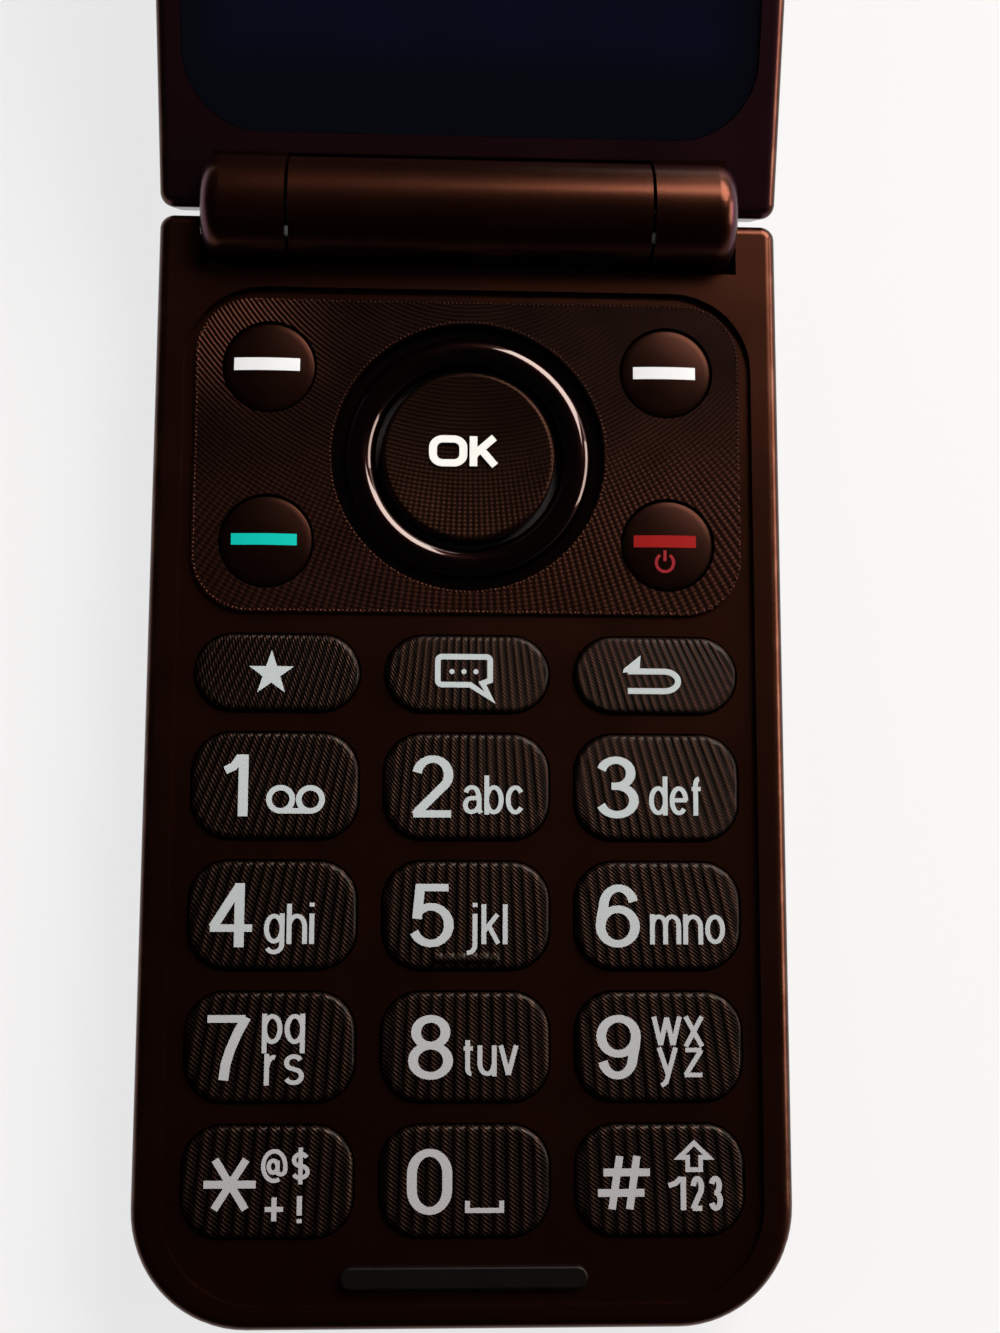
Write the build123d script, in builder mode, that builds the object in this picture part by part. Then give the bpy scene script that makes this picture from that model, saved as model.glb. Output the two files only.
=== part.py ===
from build123d import *
from math import cos, radians, sin
import os

os.makedirs("parts", exist_ok=True)

# A clamshell phone, open, lying on its back. Millimetres. The hinge axis runs along X, the keypad
# looks up along Z, and the origin is the middle of the flat back of the base.

# Keys of the number pad and the row above it
number_key_width = 14.1
number_key_height = 9.05
number_key_corner = 3.3
function_key_width = 14.1
function_key_height = 6.65
key_gap_x = 2.2
key_gap_y = 1.85
key_edge = 0.45
key_flange = 0.45
key_flange_thickness = 0.4
key_play = 0.15
key_travel = 0.35
press_gap = 0.05
key_setback = 0.1
home_bar_length = 5.5
home_bar_width = 0.7
home_bar_height = 0.15

# Navigation cluster
corner_key_radius = 4.0
corner_key_rise = 7.78
corner_key_dish = 0.18
corner_key_gap = 1.5
nav_ring_radius = 11.0
nav_ring_width = 2.85
nav_ring_round_share = 0.46
nav_ring_flange = 1.5
nav_ring_flange_thickness = 0.25
nav_ring_setback = 0.05
nav_tilt_room = 0.35
moat_width = 1.0
ok_key_radius = 7.65
ok_key_dish = 0.2
ok_key_setback = 0.2
carrier_width = 1.4
carrier_thickness = 0.2
nav_plate_side = 2.45
nav_plate_end = 2.22
nav_plate_corner = 5.0
nav_plate_thickness = 0.3
nav_plate_margin = 1.0
function_row_gap = 1.97

# Outline of the two halves, seen from above
rim_width = 2.5
rim_end = 2.0
pan_side_margin = 1.65
pan_corner_top = 7.0
pan_corner_bottom = 8.0
pan_depth = 0.55
pan_shoulder = 1.9
end_corner = 9.75
hinge_corner = 1.25
rest_bar_length = 20.4
rest_bar_width = 1.8
rest_bar_gap = 2.25
rest_bar_end_gap = 1.3
rest_bar_height = 0.2

# Shells
shell_wall = 1.2
web_thickness = 0.6
rim_round = 1.0
back_round = 2.4
fit_gap = 0.1
thin_gap = 0.05
half_gap = 0.15
end_gap = 0.2

# Hinge
open_angle = 160
barrel_radius = 4.7
barrel_gap = 0.3
barrel_bore = 3.4
middle_barrel_length = 31.7
knuckle_length = 7.4
knuckle_gap = 0.3
knuckle_round = 1.8
barrel_end_wall = 3.0
hinge_pin_radius = 1.2
hinge_running_gap = 0.05
hinge_pin_reach = 4.5
cam_length = 13.0
cam_head_radius = 2.2

# Battery and what is under the board
battery_width = 36.0
battery_length = 48.0
battery_thickness = 4.0
battery_corner = 1.0
battery_play = 0.1
bay_wall = 0.8
bay_ceiling = 0.45
speaker_gap = 1.6
cover_thickness = 0.9
cover_side_lap = 3.0
cover_hinge_lap = 1.2
cover_corner = 3.0
grip_grooves = 5
grip_groove_length = 14.0
grip_groove_width = 0.8
grip_groove_depth = 0.25
seat_thickness = 0.9
contacts_width = 8.0
contacts_depth = 2.4
contacts_height = 3.0
contacts_x = 6.0
contact_blades = 3
blade_pitch = 2.5
blade_width = 1.2
blade_reach = 0.3
sim_width = 15.0
sim_length = 12.0
sim_thickness = 1.6
sim_gap = 1.5
sim_end_gap = 0.7

# Boards and the layers over them
board_thickness = 0.8
board_inset = 0.5
dome_sheet_thickness = 0.1
dome_height = 0.25
dome_radius = 2.0
mat_thickness = 0.2
mat_pad_height = 0.3
mat_pad_inset = 1.0

# Sound, power and radio pieces in the base
speaker_length = 15.0
speaker_width = 10.0
speaker_thickness = 3.0
speaker_slot_width = 0.8
speaker_slot_pitch = 1.8
speaker_slots = 4
motor_radius = 1.9
motor_length = 9.0
jack_bore = 1.8
jack_width = 5.6
jack_height = 4.1
jack_length = 11.5
usb_width = 7.5
usb_height = 2.5
usb_length = 5.5
usb_wall = 0.3
mic_radius = 2.0
mic_thickness = 1.2
mic_hole_radius = 0.5
antenna_length = 26.0
antenna_width = 5.0
antenna_thickness = 1.0
rocker_length = 14.0
rocker_height = 2.6
rocker_proud = 0.4
rocker_flange = 0.6
rocker_flange_lap = 1.0
rocker_tilt_room = 0.5
rocker_play = 0.2
rocker_place = 32.0
flex_width = 9.0
flex_thickness = 0.3
flex_roll_radius = 1.6

# Screws
screw_radius = 0.7
screw_head_radius = 1.5
screw_head_thickness = 0.7
screw_drive_radius = 0.55
screw_drive_depth = 0.4
screw_gap = 0.1
boss_radius = 2.1
boss_gap = 0.3

# Lid
lens_side = 2.2
lens_thickness = 0.9
lens_setback = 0.2
lens_corner = 7.0
lens_shoulder = 1.8
lens_end = 2.4
deck_thickness = 0.6
display_width = 46.0
display_length = 62.0
display_thickness = 2.2
display_border = 1.4
display_gap = 1.5
lid_board_gap = 0.3
outer_display_width = 30.0
outer_display_length = 24.0
outer_display_thickness = 2.6
outer_display_place = 50.0
outer_lens_border = 2.0
outer_lens_corner = 4.0
outer_window_border = 1.5
outer_room = 0.3
camera_size = 8.0
camera_height = 2.6
camera_place = 20.0
camera_lens_radius = 4.6
flash_lens_radius = 1.6
flash_offset = 9.0
window_depth = 0.9
ear_slot_length = 10.0
ear_slot_width = 1.4
earpiece_length = 13.0
earpiece_width = 5.5
earpiece_thickness = 2.0
earpiece_gap = 6.45
grille_thickness = 0.25
grille_hole_radius = 0.22
grille_hole_pitch = 0.75
grille_holes = 12
magnet_length = 8.0
magnet_width = 2.0
magnet_thickness = 1.5
magnet_gap = 1.5
bumper_length = 4.0
bumper_width = 1.2
bumper_depth = 0.5
bumper_place = 13.0

# Widths worked out from the keys
column_pitch = number_key_width + key_gap_x
moat_radius = nav_ring_radius + moat_width
corner_key_x = moat_radius + corner_key_gap + corner_key_radius
nav_plate_width = 2 * (corner_key_x + corner_key_radius + nav_plate_side)
key_field_width = 3 * number_key_width + 2 * key_gap_x
pan_least_width = max(key_field_width + 2 * pan_side_margin, nav_plate_width + 2 * nav_plate_margin)
bay_width = battery_width + 2 * battery_play
cover_width = bay_width + 2 * bay_wall + 2 * cover_side_lap
body_width = max(pan_least_width + 2 * rim_width, cover_width + 2 * (back_round + shell_wall),
                 display_width + 2 * (shell_wall + display_gap))
pan_width = body_width - 2 * rim_width

# Distances from the hinge axis, down the base
pocket_radius = barrel_radius + barrel_gap
block_end = pocket_radius + shell_wall
pan_start = pocket_radius + pan_shoulder
nav_plate_start = pan_start + nav_plate_margin
nav_plate_height = 2 * (corner_key_rise + corner_key_radius + nav_plate_end)
ring_place = nav_plate_start + nav_plate_height / 2
function_row = nav_plate_start + nav_plate_height + function_row_gap + function_key_height / 2
row_pitch = number_key_height + key_gap_y
first_row = function_row + function_key_height / 2 + key_gap_y + number_key_height / 2
last_row = first_row + 3 * row_pitch
rest_bar_start = last_row + number_key_height / 2 + rest_bar_gap
keypad_reach = rest_bar_start + rest_bar_width + rest_bar_end_gap + rim_end

# Distances of what lies under the board: speaker, contacts, battery bay, SIM holder and antenna
bay_start = block_end + speaker_gap + speaker_width + contacts_depth + bay_wall
bay_length = battery_length + 2 * battery_play
cover_start = bay_start - bay_wall - cover_hinge_lap
cover_end_lap = bay_wall + sim_gap + sim_length + sim_end_gap
cover_end = bay_start + bay_length + cover_end_lap
antenna_start = cover_end + bay_wall + fit_gap
bay_reach = antenna_start + antenna_width + fit_gap + shell_wall

# Distances up the lid: lens, near screws, display, earpiece and closing magnet
lens_start = pocket_radius + lens_shoulder
near_lid_screw = lens_start + boss_radius + boss_gap
display_place = near_lid_screw + boss_radius + display_gap + display_length / 2
ear_place = display_place + display_length / 2 + earpiece_gap + earpiece_width / 2
lid_reach = ear_place + earpiece_width / 2 + magnet_gap + magnet_width / 2 + boss_radius + lens_end

# Both halves reach as far as the one that needs more
half_reach = max(keypad_reach, bay_reach, lid_reach)
pan_end = half_reach - rim_end
axis_y = half_reach / 2

# Heights of the base, from the table up
battery_z = cover_thickness + battery_play
seat_top = cover_thickness + thin_gap + seat_thickness
bay_top = battery_z + battery_thickness + battery_play
jack_top = shell_wall + fit_gap + jack_height
split_z = max(bay_top + bay_ceiling, jack_top + fit_gap)
board_z = split_z + fit_gap
board_top = board_z + board_thickness
dome_sheet_top = board_top + dome_sheet_thickness
mat_z = dome_sheet_top + dome_height + thin_gap
mat_top = mat_z + mat_thickness
pad_top = mat_top + mat_pad_height
key_z = pad_top + key_travel + press_gap
web_bottom = key_z + key_flange_thickness + thin_gap
web_top = web_bottom + web_thickness
rim_top = web_top + pan_depth
key_top = rim_top - key_setback
web_relief = web_thickness / 3
ring_z = web_bottom + web_relief - nav_tilt_room - nav_ring_flange_thickness
carrier_z = ring_z - nav_tilt_room - carrier_thickness + press_gap
axis_z = rim_top + half_gap
flex_z = axis_z - flex_roll_radius

# Depths of the lid, from the parting plane out
lens_face = half_gap + lens_setback
deck_face = lens_face + lens_thickness + thin_gap
deck_back = deck_face + deck_thickness
display_face = deck_back + thin_gap
display_back = display_face + display_thickness
lid_split = display_back + lid_board_gap
lid_board_face = lid_split + thin_gap
lid_board_back = lid_board_face + board_thickness
outer_display_face = lid_board_back + fit_gap
cover_inside = outer_display_face + outer_display_thickness + outer_room
lid_outside = cover_inside + shell_wall

# Planes, joints' places and which way each half runs from the hinge
base_side = -1
lid_side = 1
lift = radians(180 - open_angle)
lid_plane = Plane(origin=(0, axis_y, axis_z), x_dir=(1, 0, 0), z_dir=(0, -sin(lift), cos(lift)))
ring_y = axis_y - ring_place


def level(height):
    """Plane of the base at a height over the table; -Y is distance from the hinge axis."""
    return Plane(origin=(0, axis_y, height), x_dir=(1, 0, 0), z_dir=(0, 0, 1))


def lid_level(depth):
    """Plane of the lid at a depth under the parting plane; +Y is distance from the hinge axis."""
    return lid_plane.offset(-depth)


def across(x):
    """Plane square to the hinge axis at a place along it."""
    return Plane(origin=(x, axis_y, axis_z), x_dir=(0, 1, 0), z_dir=(1, 0, 0))


def half_outline(plane, side, inset=0, start=end_gap):
    """Plan outline of one half, drawn in all round by inset and starting so far from the axis."""
    length = half_reach - inset - start
    with BuildSketch(plane) as outline:
        with Locations((0, side * (start + length / 2))):
            Rectangle(body_width - 2 * inset, length)
        ends = outline.vertices().group_by(Axis.Y)
        fillet(ends[0] if side == base_side else ends[-1], end_corner - inset)
        near = outline.vertices().filter_by(lambda v: abs(abs(v.Y) - start) < thin_gap)
        fillet(near, hinge_corner)
    return outline.sketch


def axis_disc(x, radius):
    """Disc square to the hinge axis and centred on it, at a place along it."""
    with BuildSketch(across(x)) as disc:
        Circle(radius)
    return disc.sketch


def mid_box(plane, x, place, width, length, corner=0):
    """Rectangle centred at X and at a signed distance from the hinge axis, corners rounded or not."""
    with BuildSketch(plane) as box:
        with Locations((x, place)):
            if corner:
                RectangleRounded(width, length, corner)
            else:
                Rectangle(width, length)
    return box.sketch


def dots(plane, sites, radius):
    """Equal discs at a list of places in a plane."""
    with BuildSketch(plane) as discs:
        with Locations(*sites):
            Circle(radius)
    return discs.sketch


def key_outline(kind, grow=0):
    """Draw one kind of key into the open sketch, grown all round."""
    if kind == "number":
        RectangleRounded(number_key_width + 2 * grow, number_key_height + 2 * grow,
                         number_key_corner + grow)
    elif kind == "function":
        SlotOverall(function_key_width + 2 * grow, function_key_height + 2 * grow)
    elif kind == "corner":
        Circle(corner_key_radius + grow)


def key_holes(grow=0):
    """Draw the outline of every key that travels straight down, grown all round."""
    for kind, x, place in key_sites.values():
        with Locations((x, -place)):
            key_outline(kind, grow)


# Where each key is: its kind, its X and its distance from the hinge axis
columns = (-column_pitch, 0, column_pitch)
number_rows = (("key_1", "key_2", "key_3"), ("key_4", "key_5", "key_6"),
               ("key_7", "key_8", "key_9"), ("key_asterisk", "key_0", "key_hash"))
key_sites = {}
for column, key_name in zip(columns, ("key_favourite", "key_message", "key_back")):
    key_sites[key_name] = ("function", column, function_row)
for row, row_names in enumerate(number_rows):
    for column, key_name in zip(columns, row_names):
        key_sites[key_name] = ("number", column, first_row + row * row_pitch)
upper_place = ring_place - corner_key_rise
lower_place = ring_place + corner_key_rise
key_sites["soft_key_left"] = ("corner", -corner_key_x, upper_place)
key_sites["soft_key_right"] = ("corner", corner_key_x, upper_place)
key_sites["call_key"] = ("corner", -corner_key_x, lower_place)
key_sites["end_key"] = ("corner", corner_key_x, lower_place)

# Screw places: in the base beside the hinge and beside the rest bar, in the lid under the lens
screw_x = body_width / 2 - shell_wall - boss_radius - screw_head_radius / 2
screw_place = block_end + boss_radius + screw_gap
end_screw_x = body_width / 2 - end_corner - boss_radius
end_screw_place = half_reach - shell_wall - boss_radius - boss_gap
base_screw_sites = [(x, -place) for x, place in (
    (-screw_x, screw_place), (screw_x, screw_place),
    (-end_screw_x, end_screw_place), (end_screw_x, end_screw_place))]

hinge_notch_sites = [(x, boss_radius - screw_place)
                     for x in (-screw_x - boss_radius, screw_x + boss_radius)]
far_lid_screw = half_reach - lens_end - boss_radius
lid_screw_sites = [(x, place) for place in (near_lid_screw, far_lid_screw)
                   for x in (-end_screw_x, end_screw_x)]


def sheet_with_boss_holes(plane, inset):
    """Plan of a layer that fills the base's inside and lets the screw bosses through."""
    with BuildSketch(plane) as layer:
        add(half_outline(Plane.XY, base_side, inset, block_end + board_inset))
        with Locations(*base_screw_sites):
            Circle(boss_radius + boss_gap, mode=Mode.SUBTRACT)
        with Locations(*hinge_notch_sites):
            Rectangle(2 * (boss_radius + boss_gap), 2 * (boss_radius + boss_gap), mode=Mode.SUBTRACT)
    return layer.sketch


# Front housing of the base: rim, recessed web with the key holes, and the middle hinge barrel
middle_end = middle_barrel_length / 2
knuckle_start = middle_end + knuckle_gap
knuckle_end = knuckle_start + knuckle_length
span_end = knuckle_end + knuckle_gap
with BuildPart() as base_front_housing:
    extrude(half_outline(level(split_z), base_side), amount=rim_top - split_z)
    fillet(base_front_housing.faces().sort_by(Axis.Z)[-1].edges(), rim_round)
    extrude(half_outline(level(split_z), base_side, shell_wall, block_end),
            amount=web_bottom - split_z, mode=Mode.SUBTRACT)
    with BuildSketch(level(web_top)) as pan:
        with Locations((0, -(pan_start + pan_end) / 2)):
            Rectangle(pan_width, pan_end - pan_start)
        fillet(pan.vertices().group_by(Axis.Y)[-1], pan_corner_top)
        fillet(pan.vertices().group_by(Axis.Y)[0], pan_corner_bottom)
    extrude(amount=pan_depth, mode=Mode.SUBTRACT)
    with BuildSketch(level(web_bottom)):
        key_holes(key_play)
        with Locations((0, -ring_place)):
            Circle(moat_radius)
    extrude(amount=web_thickness, mode=Mode.SUBTRACT)
    extrude(dots(level(web_bottom), [(0, -ring_place)], nav_ring_radius + nav_ring_flange + nav_tilt_room),
            amount=web_relief, mode=Mode.SUBTRACT)
    extrude(dots(level(split_z), base_screw_sites, boss_radius), amount=web_bottom - split_z)
    extrude(dots(level(split_z), base_screw_sites, screw_radius + thin_gap),
            amount=web_bottom - split_z, mode=Mode.SUBTRACT)
    for pocket_start in (middle_end, -span_end):
        extrude(axis_disc(pocket_start, pocket_radius), amount=span_end - middle_end, mode=Mode.SUBTRACT)
    extrude(axis_disc(-middle_end, barrel_radius), amount=middle_barrel_length)
    extrude(axis_disc(-middle_end, barrel_bore), amount=middle_barrel_length - barrel_end_wall,
            mode=Mode.SUBTRACT)
    extrude(axis_disc(middle_end - barrel_end_wall, hinge_pin_radius + hinge_running_gap),
            amount=barrel_end_wall, mode=Mode.SUBTRACT)
    flex_slot = mid_box(level(flex_z - thin_gap), flex_width / 2, -block_end / 2,
                        flex_width + 2 * fit_gap, block_end + fit_gap)
    extrude(flex_slot, amount=flex_thickness + 2 * thin_gap, mode=Mode.SUBTRACT)
base_front_housing.part.label = "base_front_housing"
export_step(base_front_housing.part, "parts/base_front_housing.step")

# Rear housing of the base: floor, battery bay, seat for the cover, and openings in its walls
bay_place = -(bay_start + bay_length / 2)
cover_length = cover_end - cover_start
cover_place = -(cover_start + cover_end) / 2
sim_place = -(bay_start + bay_length + bay_wall + sim_gap + sim_length / 2)
speaker_place = -(bay_start - bay_wall - speaker_width / 2 - contacts_depth)
speaker_x = -speaker_length * 3 / 5
jack_place = -(screw_place + boss_radius + boss_gap + jack_width / 2)
jack_z = shell_wall + fit_gap + jack_height / 2
inner_x = body_width / 2 - shell_wall
usb_z = split_z - usb_height
mic_x = usb_width / 2 + 2 * mic_radius
rocker_z = (split_z + back_round + rocker_play) / 2
head_seat = shell_wall - thin_gap
with BuildPart() as base_rear_housing:
    extrude(half_outline(level(0), base_side), amount=split_z)
    fillet(base_rear_housing.faces().sort_by(Axis.Z)[0].edges(), back_round)
    extrude(half_outline(level(shell_wall), base_side, shell_wall, block_end),
            amount=split_z - shell_wall, mode=Mode.SUBTRACT)
    extrude(mid_box(level(head_seat), 0, cover_place, cover_width + 2 * bay_wall,
                    cover_length + 2 * bay_wall, cover_corner), amount=seat_top - head_seat)
    extrude(mid_box(level(head_seat), 0, bay_place, bay_width + 2 * bay_wall, bay_length + 2 * bay_wall),
            amount=split_z - head_seat)
    extrude(dots(level(head_seat), base_screw_sites, boss_radius), amount=split_z - head_seat)
    extrude(mid_box(level(0), 0, bay_place, bay_width, bay_length), amount=bay_top, mode=Mode.SUBTRACT)
    extrude(mid_box(level(0), 0, cover_place, cover_width + 2 * fit_gap, cover_length + 2 * fit_gap,
                    cover_corner), amount=cover_thickness + thin_gap, mode=Mode.SUBTRACT)
    extrude(mid_box(level(0), 0, sim_place, sim_width, sim_length), amount=seat_top, mode=Mode.SUBTRACT)
    extrude(mid_box(level(split_z), contacts_x, -bay_start, contacts_width + 2 * fit_gap, 2 * bay_wall),
            amount=-contacts_height, mode=Mode.SUBTRACT)
    extrude(dots(level(0), base_screw_sites, screw_head_radius + screw_gap), amount=head_seat,
            mode=Mode.SUBTRACT)
    extrude(dots(level(0), base_screw_sites, screw_radius + screw_gap), amount=split_z, mode=Mode.SUBTRACT)
    with BuildSketch(level(0)):
        with Locations((speaker_x, speaker_place)):
            with GridLocations(0, speaker_slot_pitch, 1, speaker_slots):
                SlotOverall(speaker_length - 2 * shell_wall, speaker_slot_width)
    extrude(amount=shell_wall, mode=Mode.SUBTRACT)
    with BuildSketch(Plane.YZ.offset(inner_x)):
        with Locations((axis_y + jack_place, jack_z)):
            Circle(jack_bore)
    extrude(amount=shell_wall, mode=Mode.SUBTRACT)
    with BuildSketch(Plane.YZ.offset(-inner_x)):
        with Locations((axis_y - rocker_place, split_z)):
            Rectangle(rocker_length + 2 * rocker_play, 2 * (split_z - rocker_z) + rocker_height + rocker_play)
    extrude(amount=-shell_wall, mode=Mode.SUBTRACT)
    extrude(mid_box(level(split_z), 0, -half_reach, usb_width + 2 * fit_gap, 2 * shell_wall),
            amount=usb_z - fit_gap - split_z, mode=Mode.SUBTRACT)
    with BuildSketch(Plane.XZ.offset(half_reach - axis_y)):
        with Locations((mic_x, board_z - mic_thickness)):
            Circle(mic_hole_radius)
    extrude(amount=-shell_wall, mode=Mode.SUBTRACT)
    extrude(axis_disc(-span_end, pocket_radius), amount=2 * span_end, mode=Mode.SUBTRACT)
base_rear_housing.part.label = "base_rear_housing"
export_step(base_rear_housing.part, "parts/base_rear_housing.step")

# Battery cover, a flat plate with thumb grooves at its far end
with BuildPart() as battery_cover:
    extrude(mid_box(level(0), 0, cover_place, cover_width, cover_length, cover_corner),
            amount=cover_thickness)
    with BuildSketch(level(0)):
        with Locations((0, -cover_end + cover_end_lap / 2)):
            with GridLocations(0, 2 * grip_groove_width, 1, grip_grooves):
                SlotOverall(grip_groove_length, grip_groove_width)
    extrude(amount=grip_groove_depth, mode=Mode.SUBTRACT)
battery_cover.part.label = "battery_cover"
export_step(battery_cover.part, "parts/battery_cover.step")

# Battery, a flat pack with rounded upright edges
with BuildPart() as battery:
    extrude(mid_box(level(battery_z), 0, bay_place, battery_width, battery_length, battery_corner),
            amount=battery_thickness)
battery.part.label = "battery"
export_step(battery.part, "parts/battery.step")

# Battery contacts, a block under the board that reaches the bay, with three spring blades
with BuildPart() as battery_contacts:
    extrude(mid_box(level(board_z), contacts_x, -(bay_start - blade_reach - contacts_depth / 2),
                    contacts_width, contacts_depth), amount=-(contacts_height - fit_gap))
    with BuildSketch(level(board_z)):
        with Locations((contacts_x, -(bay_start - blade_reach / 2))):
            with GridLocations(blade_pitch, 0, contact_blades, 1):
                Rectangle(blade_width, blade_reach)
    extrude(amount=-contacts_height / 2)
battery_contacts.part.label = "battery_contacts"
export_step(battery_contacts.part, "parts/battery_contacts.step")

# SIM holder, an open tray under the board
with BuildPart() as sim_holder:
    extrude(mid_box(level(board_z - sim_thickness), 0, sim_place, sim_width - 2 * fit_gap,
                    sim_length - 2 * fit_gap), amount=sim_thickness)
    extrude(mid_box(level(board_z - sim_thickness), 0, sim_place, sim_width - 2 * bay_wall,
                    sim_length - 2 * bay_wall), amount=sim_thickness / 2, mode=Mode.SUBTRACT)
sim_holder.part.label = "sim_holder"
export_step(sim_holder.part, "parts/sim_holder.step")

# Main board, one sheet with holes round the screw bosses
with BuildPart() as main_board:
    extrude(sheet_with_boss_holes(level(board_z), shell_wall + board_inset), amount=board_thickness)
main_board.part.label = "main_board"
export_step(main_board.part, "parts/main_board.step")

# Dome sheet, a film on the board with a snap dome under every key
with BuildPart() as dome_sheet:
    extrude(sheet_with_boss_holes(level(board_top), shell_wall + board_inset), amount=dome_sheet_thickness)
    dome_sites = [(x, -place) for kind, x, place in key_sites.values()] + [(0, -ring_place)]
    extrude(dots(level(dome_sheet_top), dome_sites, dome_radius), amount=dome_height)
    dome_tops = dome_sheet.faces().filter_by(Axis.Z).group_by(Axis.Z)[-1]
    chamfer(dome_tops.edges(), dome_height * 2 / 3)
dome_sheet.part.label = "dome_sheet"
export_step(dome_sheet.part, "parts/dome_sheet.step")

# Keypad mat, a silicone sheet with a raised pad under every key
with BuildPart() as keypad_mat:
    extrude(sheet_with_boss_holes(level(mat_z), shell_wall + board_inset), amount=mat_thickness)
    with BuildSketch(level(mat_top)):
        key_holes(-mat_pad_inset)
    extrude(amount=mat_pad_height)
keypad_mat.part.label = "keypad_mat"
export_step(keypad_mat.part, "parts/keypad_mat.step")

# Navigation plate, a textured sheet on the web with holes for the round keys and the ring
with BuildPart() as nav_plate:
    with BuildSketch(level(web_top)):
        with Locations((0, -ring_place)):
            RectangleRounded(nav_plate_width, nav_plate_height, nav_plate_corner)
            Circle(moat_radius, mode=Mode.SUBTRACT)
        with Locations(*[(x, -place) for kind, x, place in key_sites.values() if kind == "corner"]):
            Circle(corner_key_radius + key_play, mode=Mode.SUBTRACT)
    extrude(amount=nav_plate_thickness)
nav_plate.part.label = "nav_plate"
export_step(nav_plate.part, "parts/nav_plate.step")

# Rest bar, the strip at the foot of the keypad that the shut lid lies over
with BuildPart() as rest_bar:
    with BuildSketch(level(web_top)):
        with Locations((0, -(rest_bar_start + rest_bar_width / 2))):
            SlotOverall(rest_bar_length, rest_bar_width)
    extrude(amount=pan_depth + rest_bar_height)
    fillet(rest_bar.faces().sort_by(Axis.Z)[-1].edges(), rest_bar_height)
rest_bar.part.label = "rest_bar"
export_step(rest_bar.part, "parts/rest_bar.step")


def straight_key(kind, x, place):
    """One key that travels straight down: a flange under the web and a cap with a soft edge."""
    with BuildPart() as cap:
        with BuildSketch(level(key_z)):
            with Locations((x, -place)):
                key_outline(kind, key_flange)
        extrude(amount=key_flange_thickness)
        with BuildSketch(level(key_z)):
            with Locations((x, -place)):
                key_outline(kind)
        extrude(amount=key_top - key_z)
        fillet(cap.faces().sort_by(Axis.Z)[-1].edges(), key_edge)
        if kind == "corner":
            dish_reach = corner_key_radius - key_edge
            ball = (dish_reach ** 2 + corner_key_dish ** 2) / (2 * corner_key_dish)
            with Locations((x, axis_y - place, key_top + ball - corner_key_dish)):
                Sphere(ball, mode=Mode.SUBTRACT)
    return cap.part


# Number, function and round corner keys; key 5 has a raised home bar near its lower edge
for key_name, (kind, x, place) in key_sites.items():
    with BuildPart() as key_cap:
        add(straight_key(kind, x, place))
        if key_name == "key_5":
            with BuildSketch(level(key_top)):
                with Locations((x, -(place + number_key_height / 2 - 2 * home_bar_width))):
                    SlotOverall(home_bar_length, home_bar_width)
            extrude(amount=home_bar_height)
    key_cap.part.label = key_name
    export_step(key_cap.part, f"parts/{key_name}.step")

# OK key, a disc inside the ring with a shallow dish
ok_key_z = mat_top + key_travel + press_gap
ok_key_top = rim_top - ok_key_setback
with BuildPart() as ok_key:
    extrude(dots(level(ok_key_z), [(0, -ring_place)], ok_key_radius), amount=ok_key_top - ok_key_z)
    fillet(ok_key.faces().sort_by(Axis.Z)[-1].edges(), key_edge)
    ok_reach = ok_key_radius - key_edge
    ok_ball = (ok_reach ** 2 + ok_key_dish ** 2) / (2 * ok_key_dish)
    with Locations((0, ring_y, ok_key_top + ok_ball - ok_key_dish)):
        Sphere(ok_ball, mode=Mode.SUBTRACT)
ok_key.part.label = "ok_key"
export_step(ok_key.part, "parts/ok_key.step")

# Navigation ring, a rounded hoop with a flange under the web
ring_inner = nav_ring_radius - nav_ring_width
with BuildPart() as nav_ring:
    with BuildSketch(level(ring_z)):
        with Locations((0, -ring_place)):
            Circle(nav_ring_radius)
            Circle(ring_inner, mode=Mode.SUBTRACT)
    extrude(amount=rim_top - nav_ring_setback - ring_z)
    fillet(nav_ring.faces().sort_by(Axis.Z)[-1].edges(), nav_ring_width * nav_ring_round_share)
    with BuildSketch(level(ring_z)):
        with Locations((0, -ring_place)):
            Circle(nav_ring_radius + nav_ring_flange)
            Circle(ring_inner, mode=Mode.SUBTRACT)
    extrude(amount=nav_ring_flange_thickness)
nav_ring.part.label = "nav_ring"
export_step(nav_ring.part, "parts/nav_ring.step")

# Carrier under the ring, the washer that it rocks on
with BuildPart() as nav_ring_carrier:
    with BuildSketch(level(carrier_z)):
        with Locations((0, -ring_place)):
            Circle(ring_inner + carrier_width)
            Circle(ring_inner, mode=Mode.SUBTRACT)
    extrude(amount=carrier_thickness)
nav_ring_carrier.part.label = "nav_ring_carrier"
export_step(nav_ring_carrier.part, "parts/nav_ring_carrier.step")

# Volume rocker in the left wall, with a flange inside it
rocker_plane = Plane(origin=(-inner_x + rocker_tilt_room, axis_y - rocker_place, rocker_z),
                     x_dir=(0, 1, 0), z_dir=(-1, 0, 0))
with BuildPart() as volume_rocker:
    with BuildSketch(rocker_plane):
        RectangleRounded(rocker_length, rocker_height, rocker_height / 3)
    extrude(amount=rocker_tilt_room + shell_wall + rocker_proud)
    fillet(volume_rocker.faces().sort_by(Axis.X)[0].edges(), rocker_proud / 2)
    with BuildSketch(rocker_plane):
        RectangleRounded(rocker_length + 2 * rocker_flange_lap, rocker_height, rocker_height / 3)
    extrude(amount=-rocker_flange)
volume_rocker.part.label = "volume_rocker"
export_step(volume_rocker.part, "parts/volume_rocker.step")

# Loudspeaker on the floor, facing the slots
with BuildPart() as loudspeaker:
    extrude(mid_box(level(shell_wall), speaker_x, speaker_place, speaker_length, speaker_width,
                    battery_corner), amount=speaker_thickness)
loudspeaker.part.label = "loudspeaker"
export_step(loudspeaker.part, "parts/loudspeaker.step")

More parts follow.
